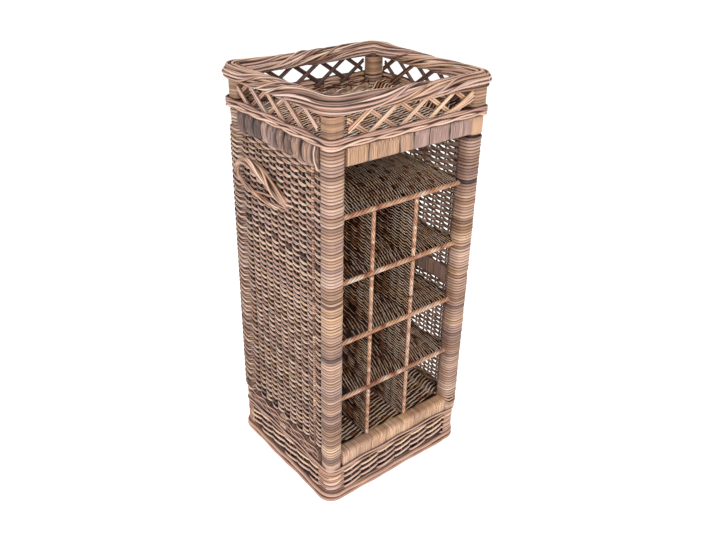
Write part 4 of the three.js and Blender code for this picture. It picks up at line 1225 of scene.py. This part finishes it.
for name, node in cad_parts.items():
    if name.startswith("post_pole") or "rail_rod" in name:
        node.data.materials.clear()
        node.data.materials.append(materials["pole"])


# Stage, light and camera

studio = {"floor": "#f4f3f1", "floorReach": 40.0, "floorGlow": 0.66, "ambient": 0.42, "target": (0, 0, 0.5)}
# each light's place, size and power
lights = {
    "key_light": ((-0.9, -2.9, 2.3), 1.5, 72),
    "fill_light": ((-2.7, -0.6, 1.9), 1.5, 36),
    "top_light": ((0.4, 0.3, 3.0), 2.2, 26),
}

floorMesh = bpy.data.meshes.new("studio_floor")
floorCorners = [(x * studio["floorReach"], y * studio["floorReach"], 0)
                for x, y in ((-1, -1), (1, -1), (1, 1), (-1, 1))]
floorMesh.from_pydata(floorCorners, [], [(0, 1, 2, 3)])
floor = bpy.data.objects.new("studio_floor", floorMesh)
bpy.context.scene.collection.objects.link(floor)
floorMaterial = bpy.data.materials.new("pale_floor")
floorMaterial.use_nodes = True
floorShader = floorMaterial.node_tree.nodes["Principled BSDF"]
floorShader.inputs["Base Color"].default_value = toLinear(studio["floor"])
floorShader.inputs["Roughness"].default_value = 1
floorShader.inputs["Emission Color"].default_value = (1, 1, 1, 1)
floorShader.inputs["Emission Strength"].default_value = studio["floorGlow"]
floorMesh.materials.append(floorMaterial)
floor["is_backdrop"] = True


def addLight(name, place, size, power):
    light = bpy.data.lights.new(name, "AREA")
    light.shape = "RECTANGLE"
    light.size = light.size_y = size
    light.energy = power
    lamp = bpy.data.objects.new(name, light)
    lamp.location = place
    lamp.rotation_mode = "QUATERNION"
    lamp.rotation_quaternion = (Vector(studio["target"]) - Vector(place)).to_track_quat("-Z", "Y")
    bpy.context.scene.collection.objects.link(lamp)


for name, settings in lights.items():
    addLight(name, *settings)

# the world lights the rack softly, and looks plain white where the camera sees it
world = bpy.data.worlds.new("studio_white")
bpy.context.scene.world = world
world.use_nodes = True
tree = world.node_tree
ambient = tree.nodes["Background"]
ambient.inputs["Color"].default_value = (1, 1, 1, 1)
ambient.inputs["Strength"].default_value = studio["ambient"]
white = addNode(tree, "ShaderNodeBackground", {"Color": (1, 1, 1, 1), "Strength": 1})
rays = addNode(tree, "ShaderNodeLightPath")
chosen = addNode(tree, "ShaderNodeMixShader", {}, {0: rays.outputs["Is Camera Ray"], 1: ambient.outputs[0],
                                                  2: white.outputs[0]})
tree.links.new(chosen.outputs[0], tree.nodes["World Output"].inputs["Surface"])
bpy.context.scene.view_settings.view_transform = "Standard"

# fitted to the photograph: metres, radians, and the focal length in pixels of its width
view = {"place": (-0.94599, -1.17719, 1.2921), "yaw": -0.68532, "pitch": 0.49708, "roll": 0.02293,
        "focal": 739.5, "pictureWidth": 716, "sensor": 36}
yaw, pitch, roll = view["yaw"], view["pitch"], view["roll"]
forward = Vector((-math.sin(yaw) * math.cos(pitch), math.cos(yaw) * math.cos(pitch), -math.sin(pitch)))
right = forward.cross(Vector((0, 0, 1))).normalized()
up = right.cross(forward)
rolledRight = right * math.cos(roll) + up * math.sin(roll)
rolledUp = up * math.cos(roll) - right * math.sin(roll)
cameraData = bpy.data.cameras.new("photo_camera")
cameraData.sensor_fit = "HORIZONTAL"
cameraData.sensor_width = view["sensor"]
cameraData.lens = view["focal"] / view["pictureWidth"] * view["sensor"]
camera = bpy.data.objects.new("photo_camera", cameraData)
turned = Matrix((rolledRight, rolledUp, -forward)).transposed().to_4x4()
camera.matrix_world = Matrix.Translation(Vector(view["place"])) @ turned
bpy.context.scene.collection.objects.link(camera)
bpy.context.scene.camera = camera

low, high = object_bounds()
print("total:", made["triangles"], "triangles")
